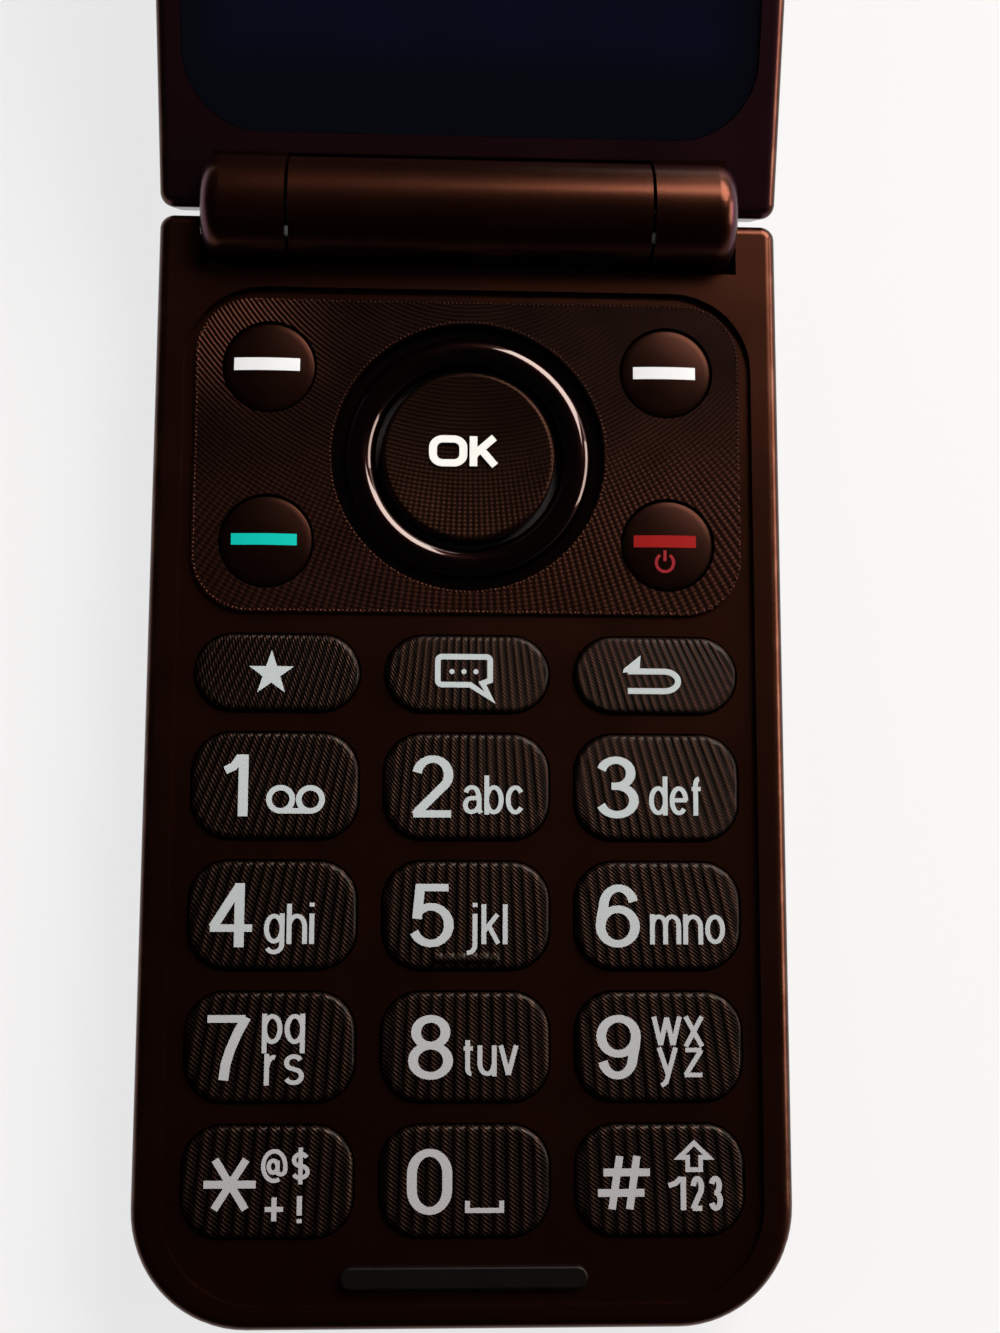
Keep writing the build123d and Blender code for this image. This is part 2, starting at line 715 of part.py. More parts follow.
# Vibration motor, a small can lying across the phone
motor_x = speaker_x + speaker_length / 2 + bay_wall
with BuildPart() as vibration_motor:
    with BuildSketch(Plane.YZ.offset(motor_x)):
        with Locations((axis_y + speaker_place, shell_wall + motor_radius)):
            Circle(motor_radius)
    extrude(amount=motor_length)
vibration_motor.part.label = "vibration_motor"
export_step(vibration_motor.part, "parts/vibration_motor.step")

# Headphone jack in the right wall, a block with its bore
with BuildPart() as headphone_jack:
    with BuildSketch(Plane.YZ.offset(inner_x)):
        with Locations((axis_y + jack_place, jack_z)):
            Rectangle(jack_width, jack_height)
    extrude(amount=-jack_length)
    with BuildSketch(Plane.YZ.offset(inner_x)):
        with Locations((axis_y + jack_place, jack_z)):
            Circle(jack_bore)
    extrude(amount=-(jack_length - shell_wall), mode=Mode.SUBTRACT)
headphone_jack.part.label = "headphone_jack"
export_step(headphone_jack.part, "parts/headphone_jack.step")

# Charging connector in the end wall, a folded metal shell with its tongue
with BuildPart() as usb_connector:
    with BuildSketch(Plane.XZ.offset(half_reach - axis_y - usb_wall)):
        with Locations((0, usb_z + usb_height / 2)):
            Rectangle(usb_width, usb_height)
    extrude(amount=-usb_length)
    with BuildSketch(Plane.XZ.offset(half_reach - axis_y - usb_wall)):
        with Locations((0, usb_z + usb_height / 2)):
            Rectangle(usb_width - 2 * usb_wall, usb_height - 2 * usb_wall)
            Rectangle(usb_width - 6 * usb_wall, usb_height / 4, mode=Mode.SUBTRACT)
    extrude(amount=-(usb_length - usb_wall), mode=Mode.SUBTRACT)
usb_connector.part.label = "usb_connector"
export_step(usb_connector.part, "parts/usb_connector.step")

# Microphone, a capsule under the board by the end wall
mic_place = half_reach - shell_wall - mic_radius - fit_gap
with BuildPart() as microphone:
    extrude(dots(level(board_z), [(mic_x, -mic_place)], mic_radius), amount=-mic_thickness)
microphone.part.label = "microphone"
export_step(microphone.part, "parts/microphone.step")

# Antenna, a moulded strip on the floor at the foot of the phone
antenna_place = -(antenna_start + antenna_width / 2)
with BuildPart() as antenna:
    extrude(mid_box(level(shell_wall), 0, antenna_place, antenna_length, antenna_width),
            amount=antenna_thickness)
antenna.part.label = "antenna"
export_step(antenna.part, "parts/antenna.step")

# Flexible circuit, rolled in the barrel, that drops behind the block to the board's edge
flex_drop = block_end + thin_gap
with BuildPart() as hinge_flex:
    with BuildSketch(across(0)):
        Circle(flex_roll_radius)
        Circle(flex_roll_radius - flex_thickness, mode=Mode.SUBTRACT)
    extrude(amount=flex_width)
    extrude(mid_box(level(flex_z), flex_width / 2, -(flex_drop + flex_thickness) / 2, flex_width,
                    flex_drop + flex_thickness), amount=flex_thickness)
    extrude(mid_box(level(flex_z + flex_thickness), flex_width / 2, -(flex_drop + flex_thickness / 2),
                    flex_width, flex_thickness), amount=board_z - flex_z - flex_thickness)
hinge_flex.part.label = "hinge_flex"
export_step(hinge_flex.part, "parts/hinge_flex.step")

# Sprung cam unit, fixed in the left of the barrel
with BuildPart() as hinge_cam_housing:
    extrude(axis_disc(-middle_end, barrel_bore - thin_gap / 2), amount=cam_length)
    extrude(axis_disc(-middle_end, hinge_pin_radius + hinge_running_gap), amount=cam_length - knuckle_gap,
            mode=Mode.SUBTRACT)
hinge_cam_housing.part.label = "hinge_cam_housing"
export_step(hinge_cam_housing.part, "parts/hinge_cam_housing.step")

# Cam shaft, whose head is keyed into the left knuckle and turns with the lid
with BuildPart() as hinge_shaft:
    with BuildSketch(across(-knuckle_start)):
        RegularPolygon(cam_head_radius, 6)
    extrude(amount=-hinge_pin_reach)
    extrude(axis_disc(-knuckle_start, hinge_pin_radius), amount=cam_length * 3 / 4)
hinge_shaft.part.label = "hinge_shaft"
export_step(hinge_shaft.part, "parts/hinge_shaft.step")

# Plain pin in the right knuckle, which turns in the barrel's end wall
with BuildPart() as hinge_pin:
    extrude(axis_disc(middle_end - barrel_end_wall + thin_gap, hinge_pin_radius),
            amount=barrel_end_wall + knuckle_gap + hinge_pin_reach - 2 * thin_gap)
hinge_pin.part.label = "hinge_pin"
export_step(hinge_pin.part, "parts/hinge_pin.step")


def screw_set(plane_at, sites, head_start, tip, inward):
    """Equal screws at a list of places: head, driver recess and shank along the plane's normal."""
    with BuildPart() as screws:
        extrude(dots(plane_at(head_start), sites, screw_head_radius), amount=inward * screw_head_thickness)
        extrude(dots(plane_at(head_start), sites, screw_radius), amount=tip)
        extrude(dots(plane_at(head_start), sites, screw_drive_radius), amount=inward * screw_drive_depth,
                mode=Mode.SUBTRACT)
    return screws.part


# Base screws, up through the rear housing into the front housing
with BuildPart() as base_screws:
    screw_z = head_seat - screw_head_thickness
    add(screw_set(level, base_screw_sites, screw_z, web_bottom - boss_gap - screw_z, 1))
base_screws.part.label = "base_screws"
export_step(base_screws.part, "parts/base_screws.step")

# Inner frame of the lid: bezel, deck under the lens, and the two end knuckles of the hinge
lens_width = body_width - 2 * lens_side
lens_length = half_reach - lens_end - lens_start
lens_place = lens_start + lens_length / 2
lid_normal = Axis(lid_plane.origin, lid_plane.z_dir)
bumper_sites = [(x, half_reach - lens_end / 2) for x in (-bumper_place, bumper_place)]
screw_pad = screw_head_thickness + deck_thickness / 2
with BuildPart() as lid_inner_frame:
    extrude(half_outline(lid_level(lid_split), lid_side), amount=lid_split - half_gap)
    fillet(lid_inner_frame.faces().sort_by(lid_normal)[-1].edges(), rim_round)
    extrude(half_outline(lid_level(lid_split), lid_side, shell_wall, block_end),
            amount=lid_split - deck_back, mode=Mode.SUBTRACT)
    extrude(mid_box(lid_level(deck_face), 0, lens_place, lens_width + 2 * thin_gap,
                    lens_length + 2 * thin_gap, lens_corner), amount=deck_face, mode=Mode.SUBTRACT)
    extrude(mid_box(lid_level(deck_back), 0, display_place, display_width - 2 * display_border,
                    display_length - 2 * display_border), amount=deck_thickness, mode=Mode.SUBTRACT)
    extrude(mid_box(lid_level(deck_back), 0, ear_place, ear_slot_length, ear_slot_width),
            amount=deck_thickness, mode=Mode.SUBTRACT)
    extrude(dots(lid_level(deck_back), lid_screw_sites, boss_radius), amount=-screw_pad)
    extrude(dots(lid_level(deck_face), lid_screw_sites, screw_head_radius + screw_gap),
            amount=-(screw_head_thickness + thin_gap), mode=Mode.SUBTRACT)
    extrude(dots(lid_level(deck_face), lid_screw_sites, screw_radius + screw_gap),
            amount=-(deck_thickness + screw_pad), mode=Mode.SUBTRACT)
    with BuildSketch(lid_level(half_gap)):
        with Locations(*bumper_sites):
            SlotOverall(bumper_length, bumper_width)
    extrude(amount=-bumper_depth, mode=Mode.SUBTRACT)
    extrude(axis_disc(-knuckle_start, pocket_radius), amount=2 * knuckle_start, mode=Mode.SUBTRACT)
    for knuckle_at in (knuckle_start, -knuckle_end):
        with BuildPart(mode=Mode.PRIVATE) as knuckle:
            extrude(axis_disc(knuckle_at, barrel_radius), amount=knuckle_length)
            outer = -1 if knuckle_at > 0 else 0
            fillet(knuckle.faces().sort_by(Axis.X)[outer].edges(), knuckle_round)
        add(knuckle.part)
    extrude(axis_disc(knuckle_start, hinge_pin_radius + thin_gap / 2), amount=hinge_pin_reach,
            mode=Mode.SUBTRACT)
    with BuildSketch(across(-knuckle_start)):
        RegularPolygon(cam_head_radius + thin_gap / 2, 6)
    extrude(amount=-hinge_pin_reach, mode=Mode.SUBTRACT)
lid_inner_frame.part.label = "lid_inner_frame"
export_step(lid_inner_frame.part, "parts/lid_inner_frame.step")

# Outer cover of the lid, with the small window, the camera and the flash let into it
camera_sites = [(0, camera_place)]
flash_sites = [(flash_offset, camera_place)]
outer_lens_width = outer_display_width + 2 * outer_lens_border
outer_lens_length = outer_display_length + 2 * outer_lens_border
with BuildPart() as lid_outer_cover:
    extrude(half_outline(lid_level(lid_outside), lid_side), amount=lid_outside - lid_split)
    fillet(lid_outer_cover.faces().sort_by(lid_normal)[0].edges(), back_round)
    extrude(half_outline(lid_level(cover_inside), lid_side, shell_wall, block_end),
            amount=cover_inside - lid_split, mode=Mode.SUBTRACT)
    extrude(dots(lid_level(cover_inside), lid_screw_sites, boss_radius),
            amount=cover_inside - deck_back - screw_pad - thin_gap)
    extrude(dots(lid_level(cover_inside), lid_screw_sites, screw_radius + thin_gap),
            amount=cover_inside - deck_back - screw_pad - thin_gap, mode=Mode.SUBTRACT)
    extrude(mid_box(lid_level(lid_outside), 0, outer_display_place, outer_lens_width + 2 * thin_gap,
                    outer_lens_length + 2 * thin_gap, outer_lens_corner), amount=window_depth,
            mode=Mode.SUBTRACT)
    extrude(mid_box(lid_level(lid_outside), 0, outer_display_place,
                    outer_display_width - 2 * outer_window_border,
                    outer_display_length - 2 * outer_window_border), amount=shell_wall, mode=Mode.SUBTRACT)
    for sites, radius in ((camera_sites, camera_lens_radius), (flash_sites, flash_lens_radius)):
        extrude(dots(lid_level(lid_outside), sites, radius + thin_gap), amount=window_depth,
                mode=Mode.SUBTRACT)
        extrude(dots(lid_level(lid_outside), sites, radius * 2 / 3), amount=shell_wall, mode=Mode.SUBTRACT)
    extrude(axis_disc(-span_end, pocket_radius), amount=2 * span_end, mode=Mode.SUBTRACT)
lid_outer_cover.part.label = "lid_outer_cover"
export_step(lid_outer_cover.part, "parts/lid_outer_cover.step")

# Main lens over the whole inner face, with the listening slot
with BuildPart() as main_lens:
    extrude(mid_box(lid_level(lens_face + lens_thickness), 0, lens_place, lens_width, lens_length,
                    lens_corner), amount=lens_thickness)
    with BuildSketch(lid_level(lens_face + lens_thickness)):
        with Locations((0, ear_place)):
            SlotOverall(ear_slot_length, ear_slot_width)
    extrude(amount=lens_thickness, mode=Mode.SUBTRACT)
main_lens.part.label = "main_lens"
export_step(main_lens.part, "parts/main_lens.step")

# Earpiece grille, a punched strip let into the slot of the lens
with BuildPart() as earpiece_grille:
    with BuildSketch(lid_level(lens_face + lens_thickness / 2)):
        with Locations((0, ear_place)):
            SlotOverall(ear_slot_length - thin_gap, ear_slot_width - thin_gap)
            with GridLocations(grille_hole_pitch, 0, grille_holes, 1):
                Circle(grille_hole_radius, mode=Mode.SUBTRACT)
    extrude(amount=grille_thickness)
earpiece_grille.part.label = "earpiece_grille"
export_step(earpiece_grille.part, "parts/earpiece_grille.step")

# Pieces held between the deck and the outer cover: name, X, place, width, length, face, thickness
lid_blocks = (
    ("main_display", 0, display_place, display_width, display_length, display_face, display_thickness),
    ("earpiece", 0, ear_place, earpiece_length, earpiece_width, display_face, earpiece_thickness),
    ("lid_magnet", 0, far_lid_screw, magnet_length, magnet_width, display_face, magnet_thickness),
    ("outer_display", 0, outer_display_place, outer_display_width, outer_display_length,
     outer_display_face, outer_display_thickness),
    ("camera_module", 0, camera_place, camera_size, camera_size, outer_display_face, camera_height),
)
for block_name, x, place, width, length, face, thickness in lid_blocks:
    with BuildPart() as lid_block:
        extrude(mid_box(lid_level(face + thickness), x, place, width, length, fit_gap), amount=thickness)
    lid_block.part.label = block_name
    export_step(lid_block.part, f"parts/{block_name}.step")

# Small board of the lid, between the two displays
with BuildPart() as lid_board:
    with BuildSketch(lid_level(lid_board_back)):
        add(half_outline(Plane.XY, lid_side, shell_wall + board_inset, block_end + board_inset))
        with Locations(*lid_screw_sites):
            Circle(boss_radius + boss_gap, mode=Mode.SUBTRACT)
    extrude(amount=board_thickness)
lid_board.part.label = "lid_board"
export_step(lid_board.part, "parts/lid_board.step")

# Outer lens, camera lens and flash lens, flush in the outer cover
with BuildPart() as outer_lens:
    extrude(mid_box(lid_level(lid_outside - thin_gap), 0, outer_display_place, outer_lens_width,
                    outer_lens_length, outer_lens_corner), amount=window_depth - 2 * thin_gap)
outer_lens.part.label = "outer_lens"
export_step(outer_lens.part, "parts/outer_lens.step")
with BuildPart() as camera_lens:
    extrude(dots(lid_level(lid_outside - thin_gap), camera_sites, camera_lens_radius),
            amount=window_depth - 2 * thin_gap)
camera_lens.part.label = "camera_lens"
export_step(camera_lens.part, "parts/camera_lens.step")
with BuildPart() as flash_lens:
    extrude(dots(lid_level(lid_outside - thin_gap), flash_sites, flash_lens_radius),
            amount=window_depth - 2 * thin_gap)
flash_lens.part.label = "flash_lens"
export_step(flash_lens.part, "parts/flash_lens.step")

# Rubber bumpers in the bezel, which meet the rim of the base when the lid is shut
bumper_lift = 2 * half_gap - press_gap
with BuildPart() as lid_bumpers:
    with BuildSketch(lid_level(half_gap + bumper_depth - thin_gap)):
        with Locations(*bumper_sites):
            SlotOverall(bumper_length - 2 * thin_gap, bumper_width - 2 * thin_gap)
    extrude(amount=bumper_depth - thin_gap + bumper_lift)
lid_bumpers.part.label = "lid_bumpers"
export_step(lid_bumpers.part, "parts/lid_bumpers.step")

# Lid screws, under the lens, down through the frame into the outer cover
with BuildPart() as lid_screws:
    lid_shank = cover_inside - deck_face - boss_gap
    add(screw_set(lid_level, lid_screw_sites, deck_face + thin_gap / 2, -lid_shank, -1))
lid_screws.part.label = "lid_screws"
export_step(lid_screws.part, "parts/lid_screws.step")
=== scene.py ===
"""A clamshell phone, open on a pale table: finishes, printed legends and modelled keys round its CAD."""
from math import ceil, cos, dist, hypot, pi, radians, sin, sqrt

import bmesh
import bpy
from mathutils import Euler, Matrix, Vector
from mathutils.geometry import delaunay_2d_cdt


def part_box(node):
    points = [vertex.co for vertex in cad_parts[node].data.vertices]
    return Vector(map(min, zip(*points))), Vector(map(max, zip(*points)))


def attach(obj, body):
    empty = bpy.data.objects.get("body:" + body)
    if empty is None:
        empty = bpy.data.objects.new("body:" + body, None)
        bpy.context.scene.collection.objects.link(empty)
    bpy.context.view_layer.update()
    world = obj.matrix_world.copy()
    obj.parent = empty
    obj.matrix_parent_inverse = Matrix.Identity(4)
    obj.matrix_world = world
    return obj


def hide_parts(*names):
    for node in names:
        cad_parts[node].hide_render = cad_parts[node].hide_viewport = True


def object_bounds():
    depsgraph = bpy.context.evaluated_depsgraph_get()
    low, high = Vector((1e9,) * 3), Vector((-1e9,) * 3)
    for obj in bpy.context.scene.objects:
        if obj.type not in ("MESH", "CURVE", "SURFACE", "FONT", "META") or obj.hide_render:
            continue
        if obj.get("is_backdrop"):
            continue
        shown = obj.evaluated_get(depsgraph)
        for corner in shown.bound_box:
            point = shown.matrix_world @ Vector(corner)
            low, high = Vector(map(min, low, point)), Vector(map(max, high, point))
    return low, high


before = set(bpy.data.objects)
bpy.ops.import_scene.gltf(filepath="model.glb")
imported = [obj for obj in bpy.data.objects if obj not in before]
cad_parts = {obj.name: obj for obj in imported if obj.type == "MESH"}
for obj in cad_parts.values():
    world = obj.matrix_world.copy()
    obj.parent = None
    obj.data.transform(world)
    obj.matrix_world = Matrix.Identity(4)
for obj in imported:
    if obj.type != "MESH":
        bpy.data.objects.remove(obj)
cad_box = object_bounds()
scene = bpy.context.scene
scene.view_settings.view_transform = "Standard"
mm = 0.001

# The camera hangs over the keypad and looks down and a little up the phone, as in the photograph.
# Its lens, place and turn were worked out from the keys' corners.
camera_data = bpy.data.cameras.new("camera")
camera_data.sensor_width = 36
camera_data.lens = 45.91
camera_data.clip_start = 0.01
camera = bpy.data.objects.new("camera", camera_data)
camera.location = Vector((-3.918, -12.141, 154.414)) * mm
camera.rotation_euler = Euler((radians(7.571), radians(-2.675), radians(0.153)))
scene.collection.objects.link(camera)
scene.camera = camera


# Table: a wide sheet of matt white board, a little uneven in tone. The finishes of every piece are
# written with the two classes below, which turn Python's sums into shader nodes.
class Wire:
    """One output of a shader node; sums and products on it add Math nodes."""

    def __init__(self, finish, socket):
        self.finish = finish
        self.socket = socket

    def math(self, operation, *others):
        """A Math node with this wire first."""
        return self.finish.node("Math", (self, *others), operation=operation)

    def __add__(self, other):
        return self.math("ADD", other)

    def __sub__(self, other):
        return self.math("SUBTRACT", other)

    def __rsub__(self, other):
        return self.finish.node("Math", (other, self), operation="SUBTRACT")

    def __mul__(self, other):
        return self.math("MULTIPLY", other)

    def __truediv__(self, other):
        return self.math("DIVIDE", other)

    __radd__ = __add__
    __rmul__ = __mul__


class Finish:
    """A material with one Principled shader, its constants, and the nodes that vary over the surface."""

    def __init__(self, name, colour, roughness, **constants):
        self.material = bpy.data.materials.new(name)
        self.material.use_nodes = True
        self.tree = self.material.node_tree
        self.shader = self.tree.nodes["Principled BSDF"]
        self.set("Base Color", paint(*colour))
        self.set("Roughness", roughness)
        for key, value in constants.items():
            self.set(key.replace("_", " ").title().replace("Ior", "IOR"), value)

    def set(self, socket, value):
        """Give one socket of the shader a constant or a wire."""
        self.plug(self.shader.inputs[socket], value)

    def plug(self, socket, value):
        """Link a wire to a socket, or write a constant there."""
        if isinstance(value, Wire):
            self.tree.links.new(value.socket, socket)
        else:
            socket.default_value = value

    def node(self, kind, inputs=(), output=0, **settings):
        """Add a node of a type, set it up, and feed its inputs by name or number."""
        made = self.tree.nodes.new("ShaderNode" + kind)
        for key, value in settings.items():
            setattr(made, key, value)
        for key, value in inputs.items() if isinstance(inputs, dict) else enumerate(inputs):
            self.plug(made.inputs[key], value)
        return Wire(self, made.outputs[output])

    def split(self, vector):
        """The three numbers of a vector."""
        parts = self.node("SeparateXYZ", (vector,)).socket.node
        return [Wire(self, socket) for socket in parts.outputs]

    def place(self):
        """X, Y and Z on the phone, in millimetres."""
        return [share * 1000 for share in self.split(self.node("TexCoord", output=3))]

    def noise(self, size, detail=2.0):
        """Cloudy noise from 0 to 1 whose patches are about so many millimetres wide."""
        at = self.node("TexCoord", output=3)
        return self.node("TexNoise", {"Vector": at, "Scale": 1000 / size, "Detail": detail})

    def mix(self, share, first, second):
        """A colour between two others, each a wire or written from 0 to 255."""
        first, second = (tone if isinstance(tone, Wire) else paint(*tone) for tone in (first, second))
        return self.node("Mix", {0: share, 6: first, 7: second}, output=2, data_type="RGBA")

    def step(self, value, start, end):
        """0 before start, 1 after end, smooth between."""
        return self.node("MapRange", (value, start, end), interpolation_type="SMOOTHSTEP")

    def wave(self, turns):
        """A sine from 0 to 1 of a number of turns."""
        return (turns * (2 * pi)).math("SINE") * 0.5 + 0.5

    def relief(self, height, depth):
        """Bump of a height from 0 to 1 over so many millimetres."""
        self.set("Normal", self.node("Bump", {"Strength": 1.0, "Distance": depth * mm, "Height": height}))


def paint(red, green, blue):
    """A colour written from 0 to 255, as a linear one."""
    def linear(value):
        value /= 255
        return value / 12.92 if value <= 0.04045 else ((value + 0.055) / 1.055) ** 2.4
    return (linear(red), linear(green), linear(blue), 1.0)


def new_object(name, verts, faces, material, smooth=True):
    """An object at the origin from points in metres."""
    mesh = bpy.data.meshes.new(name)
    mesh.from_pydata(verts, [], faces)
    mesh.materials.append(material)
    mesh.polygons.foreach_set("use_smooth", [smooth] * len(mesh.polygons))
    made = bpy.data.objects.new(name, mesh)
    scene.collection.objects.link(made)
    return made


table_half = 3.0
table_seen = (241, 241, 242)
table_glow = 0.86


def table_finish():
    """White board; what the camera and mirrors see of it is mostly its own light, so it stays even."""
    board = Finish("table", (244, 244, 244), 0.75)
    board.set("Base Color", board.mix(board.noise(90), (243, 243, 243), (247, 247, 246)))
    seen = board.node("LightPath", output="Is Camera Ray")
    for ray in ("Is Glossy Ray", "Is Transmission Ray"):
        seen = seen.math("MAXIMUM", board.node("LightPath", output=ray))
    glow = board.node("Emission", {"Color": paint(*table_seen), "Strength": 1.0})
    closing = board.node("MixShader", {0: seen * table_glow, 2: glow})
    board.tree.links.new(board.shader.outputs[0], closing.socket.node.inputs[1])
    board.tree.links.new(closing.socket, board.tree.nodes["Material Output"].inputs["Surface"])
    return board.material


table = new_object("table", [(-table_half, -table_half, 0), (table_half, -table_half, 0),
                             (table_half, table_half, 0), (-table_half, table_half, 0)],
                   [(0, 1, 2, 3)], table_finish())
table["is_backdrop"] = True


# Light: a broad warm lamp beyond the lid on the right, whose mirror image lies along the hinge barrel,
# a long thin one under it that draws the arcs on the ring, and a low one that lights the right-hand
# edges. A pale one on the left only fills. A bright horizon stands under a dark ceiling.
class Studio(Finish):
    """The world, written with the same wires as a finish."""

    def __init__(self, name):
        world = bpy.data.worlds.new(name)
        world.use_nodes = True
        self.tree = world.node_tree
        scene.world = world


def studio(bright, dim, ceiling, low, high):
    """Horizon between two heights in degrees, bright to one side, under a ceiling. The camera sees white."""
    room = Studio("studio")
    x, y, z = room.split(room.node("TexCoord", output=0))
    turn = room.step(x * 0.7 + y * 0.7, -0.5, 0.7)
    rise = room.step(z, sin(radians(low)), sin(radians(high)))
    colour = room.mix(rise, room.mix(turn, dim, bright), ceiling)
    seen = room.mix(room.node("LightPath", output="Is Camera Ray"), colour, (243, 243, 243))
    room.plug(room.tree.nodes["Background"].inputs["Color"], seen)


def lamp(name, place, size, height, power, colour, mirrored=True):
    """An oblong soft lamp that looks at the phone; one that isn't mirrored shows in no gloss."""
    data = bpy.data.lights.new(name, "AREA")
    data.shape = "RECTANGLE"
    data.size = size
    data.size_y = height
    data.energy = power
    data.color = colour
    made = bpy.data.objects.new(name, data)
    made.location = place
    made.rotation_euler = Vector(place).to_track_quat("Z", "Y").to_euler()
    made.visible_glossy = mirrored
    scene.collection.objects.link(made)


studio((225, 196, 176), (62, 55, 58), (34, 31, 33), 3, 20)
lamp("warm_lamp", (0.60, 0.86, 0.76), 0.80, 0.74, 33, (1.0, 0.90, 0.80))
lamp("side_lamp", (1.4, 0.2, 0.50), 0.8, 0.5, 15, (1.0, 0.86, 0.76))
lamp("thin_lamp", (0.80, 0.95, 0.42), 1.70, 0.05, 3.6, (1.0, 0.82, 0.77))
lamp("pale_lamp", (-1.3, 0.3, 0.85), 1.5, 1.5, 11, (0.90, 0.96, 1.0), mirrored=False)


# Housings: four moulded shells, sprayed a dark metallic brown under a thin clear coat. The paint has
# a fine orange peel. Its outer edges are painted lighter, partly as wear and partly as a painted highlight,
# and the lid's bezel face carries a painted bluish reflection.
half_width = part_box("base_rear_housing")[1].x / mm
hinge_y = 47.735
barrel_half = 22.6
barrel_back = 4.7
seam_blur = 0.3
lid_lift = radians(20)
bezel_level = 8.85
bezel_inset = 1.0
wear_glint_start, wear_glint_full, wear_glint_end = 1.2, 0.4, 0.3


def lacquer(name, colour, bright, roughness, wear_and_glint_share, bezel_sheen=None):
    """Sprayed metallic paint: flake sparkle, orange peel, cloudy wear, edges painted lighter as wear and
    painted highlight, and a painted bluish reflection on the bezel.
    """
    coat = Finish(name, colour, roughness, metallic=0.96, coat_weight=0.04, coat_roughness=0.2)
    x, y, z = coat.place()
    cloud = coat.noise(9.0, 3.0)
    flake = coat.noise(0.12, 0.0)
    beside = x.math("ABSOLUTE")
    near_edge = coat.step(beside, half_width - wear_glint_start, half_width - wear_glint_full)
    on_side = coat.step(beside, half_width - wear_glint_end, half_width)
    # Patchy lighter edges: partly wear and partly a painted highlight where the edges catch the light.
    wear_and_glint = near_edge * (1 - on_side) * coat.step(coat.noise(2.5, 3.0), 0.4, 0.7) * wear_and_glint_share
    tone = coat.mix(coat.step(flake, 0.55, 0.8) * 0.25 + cloud * 0.2, colour, bright)
    # Painted bluish reflection: the lid's raised bezel face is painted purplish brown, as if it mirrored a
    # bluish light.
    if bezel_sheen:
        level = z * cos(lid_lift) - (y - hinge_y) * sin(lid_lift)
        behind = coat.step(y, hinge_y + barrel_back, hinge_y + barrel_back + seam_blur)
        off = coat.step(beside, barrel_half, barrel_half + seam_blur)
        rim = coat.step(beside, half_width - bezel_inset, half_width - wear_glint_full)
        raised = coat.step(level, bezel_level - 0.6, bezel_level - 0.2)
        face = off.math("MAXIMUM", behind) * (1 - rim) * raised
        tone = coat.mix(face, tone, bezel_sheen)
    coat.set("Base Color", coat.mix(wear_and_glint, tone, (86, 58, 46)))
    coat.set("Roughness", cloud * 0.10 + (roughness - 0.05))
    coat.relief(coat.noise(0.35, 1.0) * 0.8 + flake * 0.2, 0.0035)
    return coat.material


housing_finish = lacquer("brown_lacquer", (56, 28, 18), (72, 38, 26), 0.28, 0.6)
lid_finish = lacquer("lid_lacquer", (56, 28, 18), (72, 38, 26), 0.28, 0.6, bezel_sheen=(74, 42, 52))
cover_finish = lacquer("cover_lacquer", (46, 23, 17), (60, 32, 25), 0.42, 0.3)


def dress(material, *nodes):
    """Give CAD nodes a material in every slot."""
    for node in nodes:
        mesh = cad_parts[node].data
        if not mesh.materials:
            mesh.materials.append(material)
        for slot in range(len(mesh.materials)):
            mesh.materials[slot] = material


dress(housing_finish, "base_front_housing", "base_rear_housing", "lid_outer_cover")
dress(lid_finish, "lid_inner_frame")
dress(cover_finish, "battery_cover")


# Key faces: number and function keys are moulded caps whose faces carry a fan of ridges that spreads
# down the keypad, each twisted like rope. A key is a mesh of its own, with a rounded edge, walls and the
# flange that the web holds down. The 5 has a pip, a small raised bar, at its lower edge.
key_bottom, flange_top = 7.75, 8.15
key_top = 9.25
key_edge = 0.45
key_flange = 0.45
ridge_depth = 0.13
ridge_fade = 0.25
ridge_roundness = 0.7
ridge_step = 0.12
row_step = 0.22
end_columns, end_share = 5, 24
pip_height, pip_above_edge = 0.15, 0.85
pip_half_width, pip_half_length = 0.35, 2.4
edge_rows = (0.0, 0.015, 0.05, 0.11, 0.19, 0.30, 0.45)
column_pitch = 16.3
fan_width, fan_growth, fan_slowing = 0.82, 0.0133, 0.00013
function_row = 41.195
first_row = 50.895
row_pitch = 10.9
key_sizes = {"number": (14.1, 9.05, 3.3), "function": (14.1, 6.65, 3.325)}
keypad = (("key_favourite", "key_message", "key_back"), ("key_1", "key_2", "key_3"),
          ("key_4", "key_5", "key_6"), ("key_7", "key_8", "key_9"), ("key_asterisk", "key_0", "key_hash"))


def fan_pitch(distance):
    """Width of one ridge at a distance from the hinge; it also takes a Wire."""
    down = distance - first_row
    return down * fan_growth - down * down * fan_slowing + fan_width


def ridge_height(x, distance):
    """Depth of the ridged face under its crests: round cords side by side."""
    turn = (x / fan_pitch(distance)) % 1.0
    return -ridge_depth * (1 - (1 - (2 * turn - 1) ** 2) ** ridge_roundness)


def edge_distance(x, y, width, height, corner):
    """How far a point lies inside a rounded rectangle, with the direction out of it."""
    qx, qy = abs(x) - (width / 2 - corner), abs(y) - (height / 2 - corner)
    px, py = max(qx, 0.0), max(qy, 0.0)
    reach = hypot(px, py)
    if reach > 0:
        out = (px / reach, py / reach)
    else:
        out = (1.0, 0.0) if qx > qy else (0.0, 1.0)
    inside = corner - reach - min(max(qx, qy), 0.0)
    return inside, (out[0] * (1 if x >= 0 else -1), out[1] * (1 if y >= 0 else -1))


def spread(length):
    """Places from 0 to a length: close together at both ends, even between them."""
    middle = max(2, ceil((length - 2 * edge_rows[-1]) / row_step))
    between = [edge_rows[-1] + (length - 2 * edge_rows[-1]) * i / middle for i in range(1, middle)]
    return list(edge_rows) + between + [length - row for row in reversed(edge_rows)]


